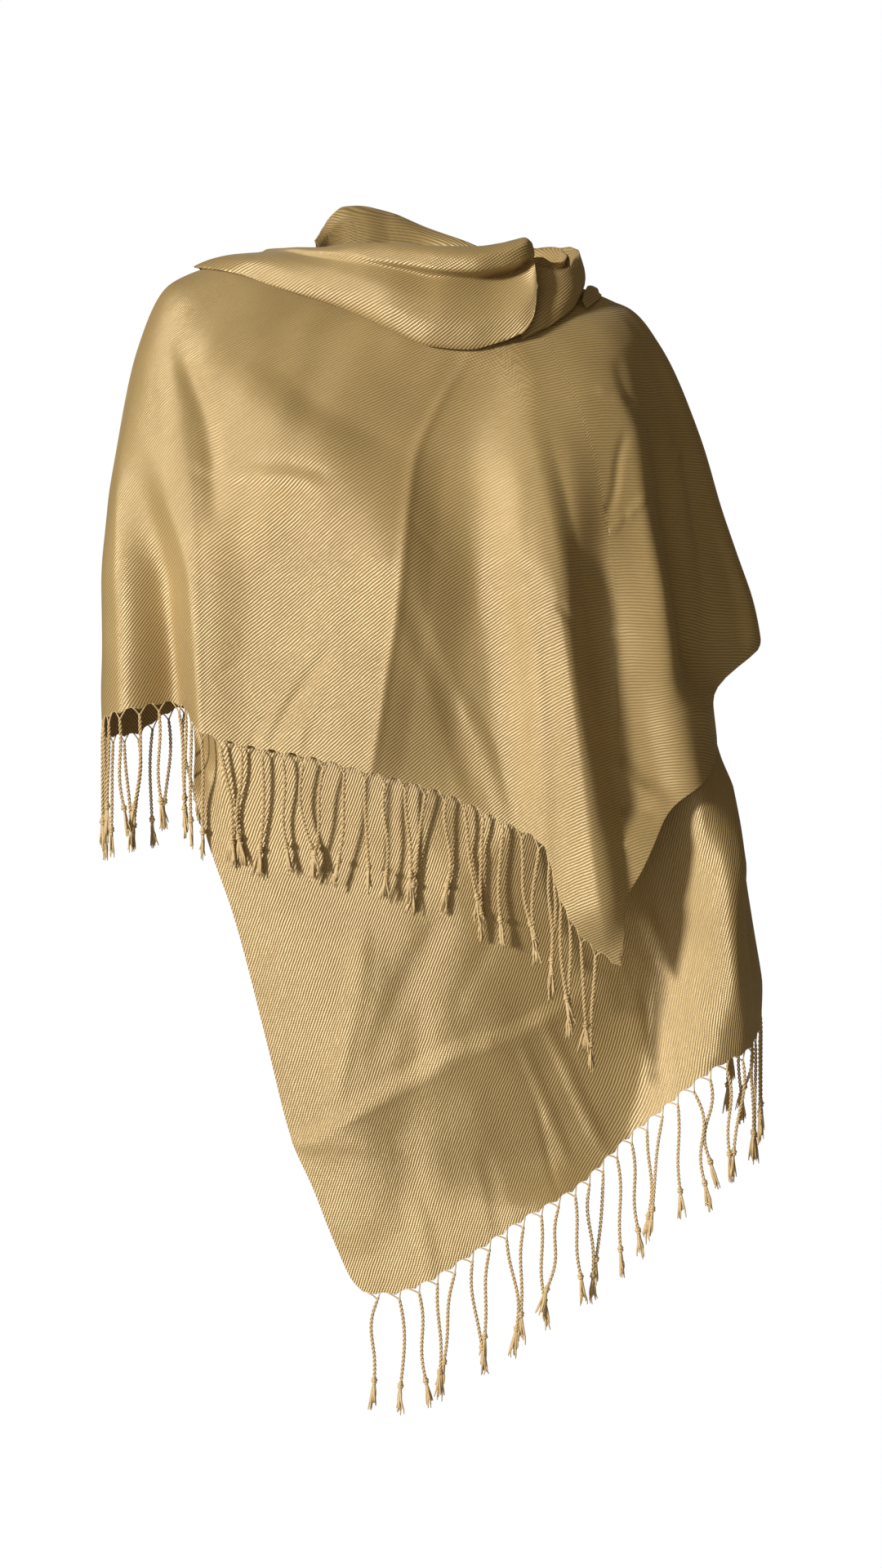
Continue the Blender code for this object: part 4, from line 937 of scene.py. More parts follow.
@dataclass
class GrainField:
    """Finds where each point of a hung cloth lay when it was flat, from the slope of its ribs."""

    ribs: RibMap
    view: FrontView
    least_facing: tuple[float, float] = (0.12, 0.4)
    rounds: int = 420
    settled: float = 1e-16
    least_pull: float = 1e-30

    def directions(self, points: Array) -> tuple[Array, Array]:
        """The directions along and across the ribs on the cloth.

        Args:
            points: the cloth's grid of points.

        Returns:
            Two unit vectors a point.
        """
        normal = grid_normals(points)
        up = np.gradient(points, axis=1)
        up = unit(up - normal * np.sum(up * normal, axis=-1, keepdims=True))
        aside = np.cross(up, normal)
        hidden = math.radians(self.ribs.elsewhere)
        rib = math.cos(hidden) * aside + math.sin(hidden) * up
        back = self.view.back
        slope = np.radians(self.ribs.slope(self.view.seen(points)))[..., None]
        seen = np.cos(slope) * np.array([1.0, 0.0, 0.0]) + np.sin(slope) * self.view.up
        facing = (normal @ back)[..., None]
        depth = np.sum(seen * normal, axis=-1, keepdims=True) / np.maximum(facing, self.least_facing[0])
        seen = seen - back * depth
        seen = unit(seen - normal * np.sum(seen * normal, axis=-1, keepdims=True))
        share = smooth_step(*self.least_facing, facing)
        rib = unit(rib * (1 - share) + seen * share)
        return rib, np.cross(normal, rib)

    def solve(self, points: Array) -> Array:
        """Coordinates along and across the ribs.

        Args:
            points: the cloth's grid of points.

        Returns:
            Two coordinates a point, in metres of flat cloth.
        """
        rib, cross = self.directions(points)
        return np.stack([self.fit(points, rib), self.fit(points, cross / self.ribs.pitch)], axis=-1)

    def fit(self, points: Array, direction: Array) -> Array:
        """The smooth field whose steps agree best with a direction.

        Args:
            points: the cloth's grid of points.
            direction: the direction in which the field rises by a metre a metre.

        Returns:
            The field's value at each point.
        """
        rise_along = np.sum(np.diff(points, axis=0) * (direction[1:] + direction[:-1]) / 2, axis=-1)
        rise_across = np.sum(
            np.diff(points, axis=1) * (direction[:, 1:] + direction[:, :-1]) / 2, axis=-1
        )
        middle = points.shape[1] // 2
        spine = np.concatenate([[0.0], np.cumsum(rise_along[:, middle])])
        field_now = np.zeros(points.shape[:2])
        field_now[:, middle] = spine
        up = np.cumsum(rise_across[:, middle:], axis=1)
        field_now[:, middle + 1 :] = spine[:, None] + up
        down = np.cumsum(rise_across[:, :middle][:, ::-1], axis=1)[:, ::-1]
        field_now[:, :middle] = spine[:, None] - down

        def spread_out(steps_along: Array, steps_across: Array) -> Array:
            """Adds each step to its end and takes it from its start.

            Args:
                steps_along: steps between neighbours along the grid.
                steps_across: steps between neighbours across it.

            Returns:
                The sum at each point.
            """
            total = np.zeros(points.shape[:2])
            total[1:] += steps_along
            total[:-1] -= steps_along
            total[:, 1:] += steps_across
            total[:, :-1] -= steps_across
            return total

        def pull(values: Array) -> Array:
            """How strongly neighbours disagree with each value."""
            return spread_out(np.diff(values, axis=0), np.diff(values, axis=1))

        wanted = spread_out(rise_along, rise_across)
        residual = wanted - pull(field_now)
        search = residual.copy()
        size = float(np.sum(residual * residual))
        for _ in range(self.rounds):
            if size < self.settled:
                break
            pulled = pull(search)
            step = size / max(float(np.sum(search * pulled)), self.least_pull)
            field_now = field_now + step * search
            residual = residual - step * pulled
            fresh = float(np.sum(residual * residual))
            search = residual + search * (fresh / size)
            size = fresh
        return field_now


@dataclass(frozen=True)
class Cut:
    """How a stretch of cloth was cut, and how it is held."""

    flat: tuple[float, float]
    held: str
    rests_on: tuple[str, ...] = ()


def wall_mesh(name: str, points: Array, grain: Array, thickness: float = CLOTH) -> bpy.types.Mesh:
    """A closed shell along a grid of points, with the weave's coordinates on it.

    Args:
        name: the mesh's name.
        points: the cloth's middle surface.
        grain: the weave's coordinates at the same points.
        thickness: the cloth's thickness.

    Returns:
        The mesh.
    """
    half = grid_normals(points) * thickness / 2
    rows, columns = points.shape[:2]
    count = rows * columns
    vertices = np.concatenate([(points + half).reshape(-1, 3), (points - half).reshape(-1, 3)])
    number = np.arange(count).reshape(rows, columns)
    face = np.stack(
        [number[:-1, :-1], number[1:, :-1], number[1:, 1:], number[:-1, 1:]], axis=-1
    ).reshape(-1, 4)
    rim = np.concatenate(
        [number[:, 0], number[-1, 1:], number[-2::-1, -1], number[0, -2:0:-1]]
    )
    next_rim = np.roll(rim, -1)
    edge = np.stack([next_rim, rim, rim + count, next_rim + count], axis=-1)
    faces = np.concatenate([face, face[:, ::-1] + count, edge])
    mesh = new_mesh(name, vertices, faces)
    layer = mesh.uv_layers.new(name="grain")
    both = np.concatenate([grain.reshape(-1, 2), grain.reshape(-1, 2)])
    layer.data.foreach_set("uv", both[faces.ravel()].astype(np.float32).ravel())
    return mesh


def new_mesh(name: str, vertices: Array, faces: Array) -> bpy.types.Mesh:
    """A mesh of four-sided faces.

    Args:
        name: the mesh's name.
        vertices: its corners.
        faces: four corner numbers a face.

    Returns:
        The mesh.
    """
    mesh = bpy.data.meshes.new(name)
    mesh.vertices.add(len(vertices))
    mesh.vertices.foreach_set("co", vertices.astype(np.float32).ravel())
    mesh.loops.add(faces.size)
    mesh.loops.foreach_set("vertex_index", faces.astype(np.int32).ravel())
    mesh.polygons.add(len(faces))
    mesh.polygons.foreach_set("loop_start", np.arange(0, faces.size, 4, dtype=np.int32))
    mesh.update(calc_edges=True)
    mesh.shade_smooth()
    return mesh


def add_piece(
    mesh: bpy.types.Mesh, material: bpy.types.Material, node: str, sharp: bool = True
) -> Any:
    """Puts a mesh into the scene in place of a node.

    Args:
        mesh: the piece's mesh, with the piece's name.
        material: its finish.
        node: the node that it stands for.
        sharp: whether its rims are shown sharp.

    Returns:
        The object.
    """
    mesh.materials.append(material)
    mesh.validate()
    if sharp:
        mesh.set_sharp_from_angle(angle=math.radians(RIM_ANGLE))
    piece = bpy.data.objects.new(mesh.name, mesh)
    bpy.context.collection.objects.link(piece)
    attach(piece, "root")
    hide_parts(node)
    LOG.info("%s: %d faces", piece.name, len(mesh.polygons))
    return piece


@dataclass
class Hem:
    """The edge that a fringe hangs from."""

    line: Array
    down: Array
    out: Array

    @property
    def spacing(self) -> float:
        """Metres from one cord to the next."""
        return float(way_along(self.line)[-1]) / STRANDS


@dataclass
class ClothPiece:
    """A stretch of the shawl's cloth."""

    name: str
    node: str
    cut: Cut
    grain: GrainField
    figure: Figure
    creasing: Creasing
    undulation: Undulation
    scallop: float = 0.0032
    scallop_rows: tuple[float, ...] = (1.0, 0.55, 0.25, 0.08)
    scallop_shape: float = 0.8

    def surface(self) -> Array:
        """The grid of points on the cloth's middle surface."""
        raise NotImplementedError

    def hem_of(self, points: Array, cells: int) -> Hem:
        """The hem along the start of a grid's first row.

        Args:
            points: the cloth's grid.
            cells: how many cells of the row are hem.

        Returns:
            The hem.
        """
        line = points[: cells + 1, 0]
        down = unit(line - points[: cells + 1, 2])
        return Hem(line.copy(), down, grid_normals(points)[: cells + 1, 0])

    def scalloped(self, points: Array, hem: Hem) -> Array:
        """The grid with its hem drawn up into an arch between each two cords.

        Args:
            points: the cloth's grid.
            hem: its hem.

        Returns:
            The grid with the arches.
        """
        cells = len(hem.line) - 1
        share = way_along(hem.line) / hem.spacing
        arch = np.abs(np.cos(math.pi * share)) ** self.scallop_shape
        lifted = points.copy()
        for row, part in enumerate(self.scallop_rows):
            lifted[: cells + 1, row] -= hem.down * (arch * self.scallop * part)[:, None]
        return lifted

    def dress(self, points: Array, material: bpy.types.Material, with_pieces: list[Any]) -> Any:
        """Builds the piece from its grid and says what cloth it is.

        Args:
            points: the grid.
            material: the woven finish.
            with_pieces: pieces sewn to it; not used.

        Returns:
            The object.
        """
        mesh = wall_mesh(self.name, points, self.grain.solve(points))
        piece = add_piece(mesh, material, self.node)
        return piece


@dataclass
class Panel(ClothPiece):
    """A broad stretch of cloth over the figure, with folds and creases."""

    folds: list[Fold] = field(default_factory=list)
    creases: list[Crease] = field(default_factory=list)

    def base(self, azimuth: Array, drop: Array) -> Array:
        """The panel before its creases, at places on the figure."""
        raise NotImplementedError

    def creased(self, azimuth: Array, drop: Array, shown: Array) -> Array:
        """The panel with its creases and its unevenness.

        Args:
            azimuth: degrees round from the front.
            drop: metres down the figure.
            shown: how far they show at each place, from 0 to 1.

        Returns:
            The points there.
        """
        points = self.base(azimuth, drop)
        lift = self.creasing.lift(self.creases, azimuth, drop, points)
        lift = lift + self.undulation.lift(self.figure.around_of(azimuth), drop)
        return points + self.figure.normal(azimuth, drop) * (lift * shown)[..., None]


@dataclass
class HangingPanel(Panel):
    """A panel whose columns hang straight down from the neckline."""

    rows: int = 118

    def hang(self, edge: list[Place], cells: int) -> tuple[Array, Array]:
        """Places from the neckline to a lower edge, column by column.

        Args:
            edge: the lower edge.
            cells: columns along it.

        Returns:
            Azimuths and drops.
        """
        low = self.figure.edge_curve(edge, np.linspace(0, 1, cells + 1))
        azimuth = self.figure.azimuth_of(low[:, :1])
        neckline = smooth_value(
            [place.azimuth for place in NECKLINE], [place.drop for place in NECKLINE], azimuth
        )
        share = np.linspace(0, 1, self.rows + 1)[None]
        drop = low[:, 1:] + (neckline - low[:, 1:]) * share
        return np.broadcast_to(azimuth, drop.shape).copy(), drop


@dataclass
class FrontPanel(HangingPanel):
    """The upper end of the shawl, spread over the chest and both shoulders."""

    hem_cells: int = 276
    selvage_cells: int = 60

    def base(self, azimuth: Array, drop: Array) -> Array:
        """The panel before its creases.

        Args:
            azimuth: degrees round from the front.
            drop: metres down the figure.

        Returns:
            The points there.
        """
        return self.figure.raised(azimuth, drop, self.figure.relief(azimuth, drop, self.folds))

    def surface(self) -> Array:
        """The grid of points, with the hem in its first row and then the selvage.

        Returns:
            The points, by their place along the piece and across it.
        """
        hem_azimuth, hem_drop = self.hang(FRONT_HEM, self.hem_cells)
        azimuth, drop = self.hang(FRONT_SELVAGE, self.selvage_cells)
        azimuth = np.concatenate([hem_azimuth, azimuth[1:]])
        drop = np.concatenate([hem_drop, drop[1:]])
        return self.creased(azimuth, drop, 1 - smooth_step(*FRONT_FADES, azimuth))

    @staticmethod
    def edge_drop(azimuth: Array) -> Array:
        """How far down the panel reaches at an azimuth."""
        edge = FRONT_HEM + [place for place in FRONT_SELVAGE if place.azimuth > FRONT_CORNER]
        return np.interp(azimuth, [place.azimuth for place in edge], [place.drop for place in edge])


@dataclass
class BackPanel(HangingPanel):
    """The shawl's middle, across the wearer's back."""

    cells: int = 150

    def base(self, azimuth: Array, drop: Array) -> Array:
        """The panel before its creases.

        Args:
            azimuth: degrees round from the front.
            drop: metres down the figure.

        Returns:
            The points there.
        """
        same_place = np.where(azimuth > 180, azimuth - 360, azimuth)
        lift = self.figure.relief(azimuth, drop, self.folds)
        lift = lift + self.figure.relief(same_place, drop, FRONT_FOLDS)
        lift = lift - LAYER_GAP * smooth_step(*BACK_TUCKED, azimuth)
        return self.figure.raised(azimuth, drop, lift)

    def surface(self) -> Array:
        """The grid of points, with the lower selvage in its first row."""
        azimuth, drop = self.hang(BACK_LOWER_EDGE, self.cells)
        return self.creased(azimuth, drop, smooth_step(*BACK_FADES_IN, azimuth))


@dataclass
class UnderPanel(Panel):
    """The lower end of the shawl, which hangs in front from below the upper end."""

    cells: tuple[int, int] = (276, 140)

    def places(self) -> tuple[Array, Array]:
        """A grid of places that fills the space between the panel's four edges.

        Returns:
            Azimuths and drops.
        """
        along = np.linspace(0, 1, self.cells[0] + 1)
        across = np.linspace(0, 1, self.cells[1] + 1)
        low = self.figure.edge_curve(UNDER_HEM, along)[:, None]
        high = self.figure.edge_curve(UNDER_TOP, along)[:, None]
        start = self.figure.edge_curve(UNDER_SELVAGE, across)[None]
        end = self.figure.edge_curve(UNDER_FAR_SELVAGE, across)[None]
        u, v = along[:, None, None], across[None, :, None]
        corners = (
            (1 - u) * (1 - v) * low[0, 0]
            + u * (1 - v) * low[-1, 0]
            + (1 - u) * v * high[0, 0]
            + u * v * high[-1, 0]
        )
        grid = (1 - v) * low + v * high + (1 - u) * start + u * end - corners
        return self.figure.azimuth_of(grid[..., 0]), np.maximum(grid[..., 1], 0.0)

    def uncovered(self, azimuth: Array, drop: Array) -> Array:
        """1 where the panel shows and 0 where it lies below another.

        Args:
            azimuth: degrees round from the front.
            drop: metres down the figure.

        Returns:
            A share from 0 to 1 at each place.
        """
        edge = FrontPanel.edge_drop(azimuth)
        nearest, farthest = UNDER_COMES_OUT
        covered = 1 - smooth_step(edge + nearest, edge + farthest, drop)
        return 1 - np.maximum(covered, smooth_step(*UNDER_BEHIND, azimuth))

    def base(self, azimuth: Array, drop: Array) -> Array:
        """The panel before its creases.

        Args:
            azimuth: degrees round from the front.
            drop: metres down the figure.

        Returns:
            The points there.
        """
        own = self.figure.relief(azimuth, drop, self.folds) - UNDER_REST
        outer = self.figure.lowest_relief(azimuth, drop, FRONT_FOLDS)
        outer = np.minimum(outer, self.figure.lowest_relief(azimuth, drop, BACK_FOLDS))
        hidden = np.minimum(own, outer - LAYER_GAP)
        shown = self.uncovered(azimuth, drop)
        lift = own * shown + hidden * (1 - shown)
        return self.figure.raised(azimuth, drop, lift)

    def point_at(self, azimuth: Array, drop: Array) -> Array:
        """The panel's middle surface, creases and all.

        Args:
            azimuth: degrees round from the front.
            drop: metres down the figure.

        Returns:
            The points there.
        """
        edge = FrontPanel.edge_drop(azimuth)
        start, full = UNDER_CREASES_START
        return self.creased(azimuth, drop, smooth_step(edge + start, edge + full, drop))

    def surface(self) -> Array:
        """The grid of points, with the hem in its first row."""
        return self.point_at(*self.places())


@dataclass
class NeckFold(ClothPiece):
    """One stretch of the shawl's upper edge, rolled round the neck."""

    cells: tuple[int, int] = (180, 56)
    stations: list[Station] = field(default_factory=list)
    panel_point: Callable[[Array, Array], Array] | None = None

    def section(self, station: Station) -> Array:
        """The points of one section, from under the edge over the top and inside.

        Args:
            station: the section's row.

        Returns:
            The section's points.
        """
        azimuth, drop = np.array(float(station.edge_azimuth)), np.array(station.edge_drop)
        outward = self.figure.normal(azimuth, drop)
        turned = min(TURNED_UNDER, station.tuck * TURN_OF_TUCK)
        edge = self.panel_point(azimuth, drop) + outward * (NECK_STANDOFF + turned)
        edge = edge - unit(edge * np.array([1.0, 1.0, 0.0])) * station.edge_inset
        edge[2] += station.edge_rise
        top = np.array([station.top_x, station.top_y, station.top_z])
        length = np.linalg.norm(top - edge)
        chord = unit(top - edge)
        outward = unit(outward - chord * outward.dot(chord))
        inward = unit(np.array([-top[0], -top[1], 0.0]))
        down = np.array([0.0, 0.0, -1.0])
        middle = []
        for way, belly, groove, roll in NECK_SWELLS:
            height = station.belly * belly - station.groove * groove + station.roll * roll
            middle.append(edge + chord * length * way + outward * height)
        reach, fall = TOP_TURN
        return np.array(
            [
                edge + chord * station.tuck - outward * turned,
                edge,
                *middle,
                top,
                top + inward * station.inward * reach + down * station.inner_drop * fall,
                top + inward * station.inward + down * station.inner_drop,
            ]
        )

    def surface(self) -> Array:
        """The grid of points, lofted through the sections.

        Returns:
            The points, by their place along the piece and across it.
        """
        shares = np.linspace(0, 1, self.cells[1] + 1)
        sections = []
        for station in self.stations:
            profile = self.section(station)
            way = way_along(profile)
            sections.append(smooth_value(way / way[-1], profile, shares))
        sections = np.array(sections)
        way = way_along(sections.mean(axis=1))
        along = np.linspace(0, 1, self.cells[0] + 1)
        flat = sections.reshape(len(sections), -1)
        points = smooth_value(way / way[-1], flat, along).reshape(len(along), len(shares), 3)
        run = way_along(points.mean(axis=1))[:, None]
        rise = np.linspace(0, float(np.mean(way_along(points[len(along) // 2]))), len(shares))[None]
        lift = self.undulation.lift(run, rise + 0 * run)
        calm = np.minimum(shares[None], 1 - shares[None]) * CALM_EDGES
        lift = lift * np.clip(calm, LEAST_UNEVENNESS, 1)
        return points + grid_normals(points) * lift[..., None]


@dataclass
class InnerRoll(ClothPiece):
    """The layer that shows inside the side roll."""

    cells: tuple[int, int] = (80, 22)
    depth: float = 0.018
    slant: float = 0.005

    def surface(self) -> Array:
        """The grid of points, from the lower edge up.

        Returns:
            The points, by their place along the piece and across it.
        """
        edge = np.array(INNER_ROLL_EDGE)
        way = np.linspace(0, 1, len(edge))
        upper = smooth_value(way, edge, np.linspace(0, 1, self.cells[0] + 1))
        inward = -unit(upper * np.array([1.0, 1.0, 0.0]))
        share = np.linspace(1, 0, self.cells[1] + 1)[None, :, None]
        fall = np.array([0.0, 0.0, -self.depth])
        return upper[:, None] + share * (fall + inward[:, None] * self.slant)


@dataclass
class ShoulderPleat(ClothPiece):
    """The small pleat that leans on the shoulder."""

    cells: tuple[int, int] = (60, 18)
    height: float = 0.011
    rest: float = 0.0021
    stand: float = 0.004
    panel_point: Callable[[Array, Array], Array] | None = None

    def surface(self) -> Array:
        """The grid of points, from the root up.

        Returns:
            The points, by their place along the piece and across it.
        """
        along = np.linspace(0, 1, self.cells[0] + 1)
        across = np.linspace(0, 1, self.cells[1] + 1)
        azimuth = PLEAT_ROOT.azimuth + (PLEAT_TIP.azimuth - PLEAT_ROOT.azimuth) * along
        drop = PLEAT_ROOT.drop + (PLEAT_TIP.drop - PLEAT_ROOT.drop) * along
        spread = self.height * smooth_value(*zip(*PLEAT_OUTLINE), along)
        drops = drop[:, None] - spread[:, None] * across[None]
        azimuths = np.broadcast_to(azimuth[:, None], drops.shape)
        lift = self.rest + self.stand * smooth_step(0, 1, across)[None]
        normal = self.figure.normal(azimuths, drops)
        return self.panel_point(azimuths, drops) + normal * lift[..., None]


class TubeBundle:
    """Collects round strands into one mesh."""

    def __init__(self) -> None:
        """Starts with no strand."""
        self.vertices: list[Array] = []
        self.faces: list[Array] = []
        self.weave: list[Array] = []
        self.count = 0

    def add(self, path: Array, radius: Any, beside: Array, sides: int = 6) -> None:
        """Adds one strand.

        Args:
            path: the points along its middle.
            radius: its radius, or one radius a point.
            beside: a direction that the strand doesn't run in.
            sides: an even number of sides.
        """
        along = unit(np.gradient(path, axis=0))
        first = unit(np.cross(along, beside))
        second = np.cross(along, first)
        angle = np.arange(sides) * 2 * math.pi / sides
        ring = first[:, None] * np.cos(angle)[None, :, None]
        ring = ring + second[:, None] * np.sin(angle)[None, :, None]
        reach = np.broadcast_to(np.asarray(radius, dtype=float), (len(path),))
        self.vertices.append((path[:, None] + ring * reach[:, None, None]).reshape(-1, 3))
        rows = np.arange(len(path) - 1)[:, None] * sides + self.count
        side = np.arange(sides)[None]
        other = (side + 1) % sides
        walls = np.stack([rows + side, rows + other, rows + sides + other, rows + sides + side], -1)
        fan = np.arange(1, sides - 2, 2)
        end = np.stack([0 * fan, fan, fan + 1, fan + 2], axis=-1)
        last = self.count + (len(path) - 1) * sides
        self.faces.append(np.concatenate([walls.reshape(-1, 4), end[:, ::-1] + self.count, end + last]))
        way = way_along(path)
        near, far = np.meshgrid(way[:-1], side[0] / sides, indexing="ij")
        beyond, wide = np.meshgrid(way[1:], (side[0] + 1) / sides, indexing="ij")
        corners = [(near, far), (near, wide), (beyond, wide), (beyond, far)]
        weave = np.stack([np.stack(corner, axis=-1) for corner in corners], axis=2).reshape(-1, 2)
        self.weave.append(np.concatenate([weave, np.zeros((8 * len(fan), 2))]))
        self.count += len(path) * sides

    def mesh(self, name: str) -> bpy.types.Mesh:
        """The strands as one mesh, with coordinates along and round them.

        Args:
            name: the mesh's name.

        Returns:
            The mesh.
        """
        mesh = new_mesh(name, np.concatenate(self.vertices), np.concatenate(self.faces))
        layer = mesh.uv_layers.new(name="grain")
        layer.data.foreach_set("uv", np.concatenate(self.weave).astype(np.float32).ravel())
        return mesh


class CordEnd(NamedTuple):
    """The directions at a cord's end: on along the cord, and two across it."""

    down: Array
    side: Array
    front: Array


@dataclass
class Fringe:
    """A row of twisted and knotted cords that hangs from a hem."""

    name: str
    node: str
    seed: int
    groups: tuple[int, ...]
    leans: tuple[float, ...]
    joint_drop: float = 0.0038
    leg_reach: float = 0.34
    leg_radius: float = 0.00062
    edging_radius: float = 0.00045
    cord_length: float = 0.076
    ply_radius: float = 0.00076
    ply_offset: float = 0.00090
    twist: float = 0.0075
    steps_a_turn: int = 10
    knot_radius: float = 0.0020
    knot_height: float = 0.0052
    brush_yarns: int = 12
    brush_length: tuple[float, float] = (0.013, 0.024)
    brush_radius: float = 0.00095
    brush_flare: tuple[float, float] = (0.10, 0.06)
    brush_curl: float = 0.035
    brush_core: float = 0.0006
    tip_spacing: float = 0.0042
    tip_error: float = 0.001
    length_spread: tuple[float, float] = (0.92, 1.06)
    sway: float = 0.0022
    hold_off: Callable[[Array], Array] | None = None

    def build(self, hem: Hem, edge: Array, material: bpy.types.Material) -> Any:
        """Builds the fringe.

        Args:
            hem: the hem that it hangs from.
            edge: the hem's scalloped edge.
            material: the yarn's finish.

        Returns:
            The object.
        """
        chance = random.Random(self.seed)
        bundle = TubeBundle()
        bundle.add(edge, self.edging_radius, np.array([0.0, 0.0, 1.0]) + 0 * edge)
        roots = (np.arange(STRANDS) + 0.5) * hem.spacing
        way = way_along(hem.line)

        def at(values: Array, place: Array) -> Array:
            """Values along the hem at some distances."""
            return np.stack([np.interp(place, way, values[:, axis]) for axis in range(3)], axis=-1)

        flat = np.array([1.0, 1.0, 0.0])
        joints = at(hem.line, roots) + at(hem.down, roots) * self.joint_drop
        beside = unit((at(hem.line, roots + HEM_STEP) - at(hem.line, roots - HEM_STEP)) * flat)
        out = unit(at(hem.out, roots) * flat)
        reach = self.leg_reach * hem.spacing
        starts = [at(edge, roots - reach), at(edge, roots + reach)]
        first = 0
        for size, lean in zip(self.groups, self.leans):
            members = range(first, min(first + size, STRANDS))
            centre = joints[list(members)].mean(axis=0)
            for place, index in enumerate(members):
                aside = lean + (place - (size - 1) / 2) * self.tip_spacing
                tip = centre + beside[index] * (aside + chance.uniform(-self.tip_error, self.tip_error))
                path = self.path(joints[index], tip, beside[index], chance)
                for start in starts:
                    self.add_leg(bundle, start[index], path, out[index])
                self.add_cord(bundle, path, out[index], chance)
            first += size
        return add_piece(bundle.mesh(self.name), material, self.node, sharp=False)

    def path(self, joint: Array, tip: Array, beside: Array, chance: random.Random) -> Array:
        """The middle of a cord, from where its legs join down to its knot.

        Args:
            joint: where the legs join.
            tip: a point that the cord's end hangs at, seen from above.
            beside: the direction along the hem.
            chance: the fringe's chance.

        Returns:
            The points of the path.
        """
        length = self.cord_length * chance.uniform(*self.length_spread)
        turns = length / self.twist
        share = np.linspace(0, 1, int(turns * self.steps_a_turn) + 1)[:, None]
        drift = (tip - joint) * np.array([1.0, 1.0, 0.0])
        bow = chance.gauss(0, self.sway) * np.sin(math.pi * share)
        wave = chance.gauss(0, self.sway * 0.5) * np.sin(2 * math.pi * share)
        path = joint + drift * share**DRIFT_BEND + beside * (bow + wave)
        fall = max(length**2 - float(drift @ drift), LEAST_FALL * length**2)
        path[:, 2] -= share[:, 0] * math.sqrt(fall)
        if self.hold_off:
            path = self.hold_off(path)
        return path

    def add_leg(self, bundle: TubeBundle, start: Array, path: Array, out: Array) -> None:
        """Adds one of the two yarns that run from the hem into a cord.

        Args:
            bundle: what the strands are collected in.
            start: where the yarn leaves the hem.
            path: the cord's middle.
            out: the direction away from the wearer.
        """
        share = np.linspace(0, 1, LEG_POINTS)[:, None]
        end = path[min(LEG_JOINS, len(path) - 1)]
        bend = (1 - share) ** 2 * start + 2 * share * (1 - share) * path[0] + share**2 * end
        bundle.add(bend, self.leg_radius, out)

    def add_cord(self, bundle: TubeBundle, path: Array, out: Array, chance: random.Random) -> None:
        """Adds a cord of two plies with its knot and its brush.

        Args:
            bundle: what the strands are collected in.
            path: the cord's middle.
            out: the direction away from the wearer.
            chance: the fringe's chance.
        """
        along = unit(np.gradient(path, axis=0))
        side = unit(np.cross(along, out))
        front = np.cross(along, side)
        turn = way_along(path) * 2 * math.pi / self.twist + chance.uniform(0, ANY_TURN)
        parted = smooth_step(0, PLIES_PART, np.linspace(0, 1, len(path)))
        least, rest = PLIES_AT_TOP
        apart = (least + rest * parted)[:, None]
        for start in (0.0, math.pi):
            angle = (turn + start)[:, None]
            offset = side * np.cos(angle) + front * np.sin(angle)
            bundle.add(path + offset * self.ply_offset * apart, self.ply_radius, out)
        end = CordEnd(along[-1], side[-1], front[-1])
        self.add_knot(bundle, path[-1], end, chance)
        start = path[-1] + end.down * self.knot_height
        for _ in range(self.brush_yarns):
            self.add_brush_yarn(bundle, start, end, chance)

    def add_knot(self, bundle: TubeBundle, top: Array, end: CordEnd, chance: random.Random) -> None:
        """Adds the knot, as a yarn wound round the cord's end with the end drawn through.

        Args:
            bundle: what the strands are collected in.
            top: where the knot starts.
            end: the directions at the cord's end.
            chance: the fringe's chance.
        """
        share = np.linspace(0, 1, 25)[:, None]
        angle = share * KNOT_TURNS * 2 * math.pi + chance.uniform(0, ANY_TURN)
        swell = KNOT_SWELL[0] + KNOT_SWELL[1] * np.sin(math.pi * share)
        offset = (end.side * np.cos(angle) + end.front * np.sin(angle)) * self.knot_radius * swell
        wound = top + end.down * share * self.knot_height + offset
        bundle.add(wound, self.ply_radius * KNOT_YARN, end.down)
        way = np.linspace(*KNOT_CORE_REACH, len(KNOT_CORE))[:, None]
        core = top + end.down * way * self.knot_height
        bundle.add(core, self.ply_radius * np.array(KNOT_CORE), end.front)

    def add_brush_yarn(
        self, bundle: TubeBundle, start: Array, end: CordEnd, chance: random.Random
    ) -> None:
        """Adds one loose yarn below the knot.

        Args:
            bundle: what the strands are collected in.
            start: the knot's lower end.
            end: the directions at the cord's end.
            chance: the fringe's chance.
        """
        share = np.linspace(0, 1, len(BRUSH_TAPER))[:, None]
        length = chance.uniform(*self.brush_length)
        across = chance.gauss(0, self.brush_flare[0])
        through = chance.gauss(0, self.brush_flare[1])
        wave = np.sin(share * chance.uniform(*BRUSH_WAVE) + chance.uniform(*BRUSH_START))
        bend = share**BRUSH_BEND
        spread = end.side * (across * bend + wave * share * chance.gauss(0, self.brush_curl))
        spread = spread + end.front * (through * bend)
        on, plumb = BRUSH_HANG
        sink = end.down * share * on + np.array([0.0, 0.0, -1.0]) * share * plumb
        path = start + (sink + spread) * length
        shift = end.side * chance.uniform(-1, 1) + end.front * chance.uniform(-1, 1)
        path = path + shift * self.brush_core
        if self.hold_off:
            path = self.hold_off(path)
        bundle.add(path, self.brush_radius * np.array(BRUSH_TAPER), end.front, sides=4)


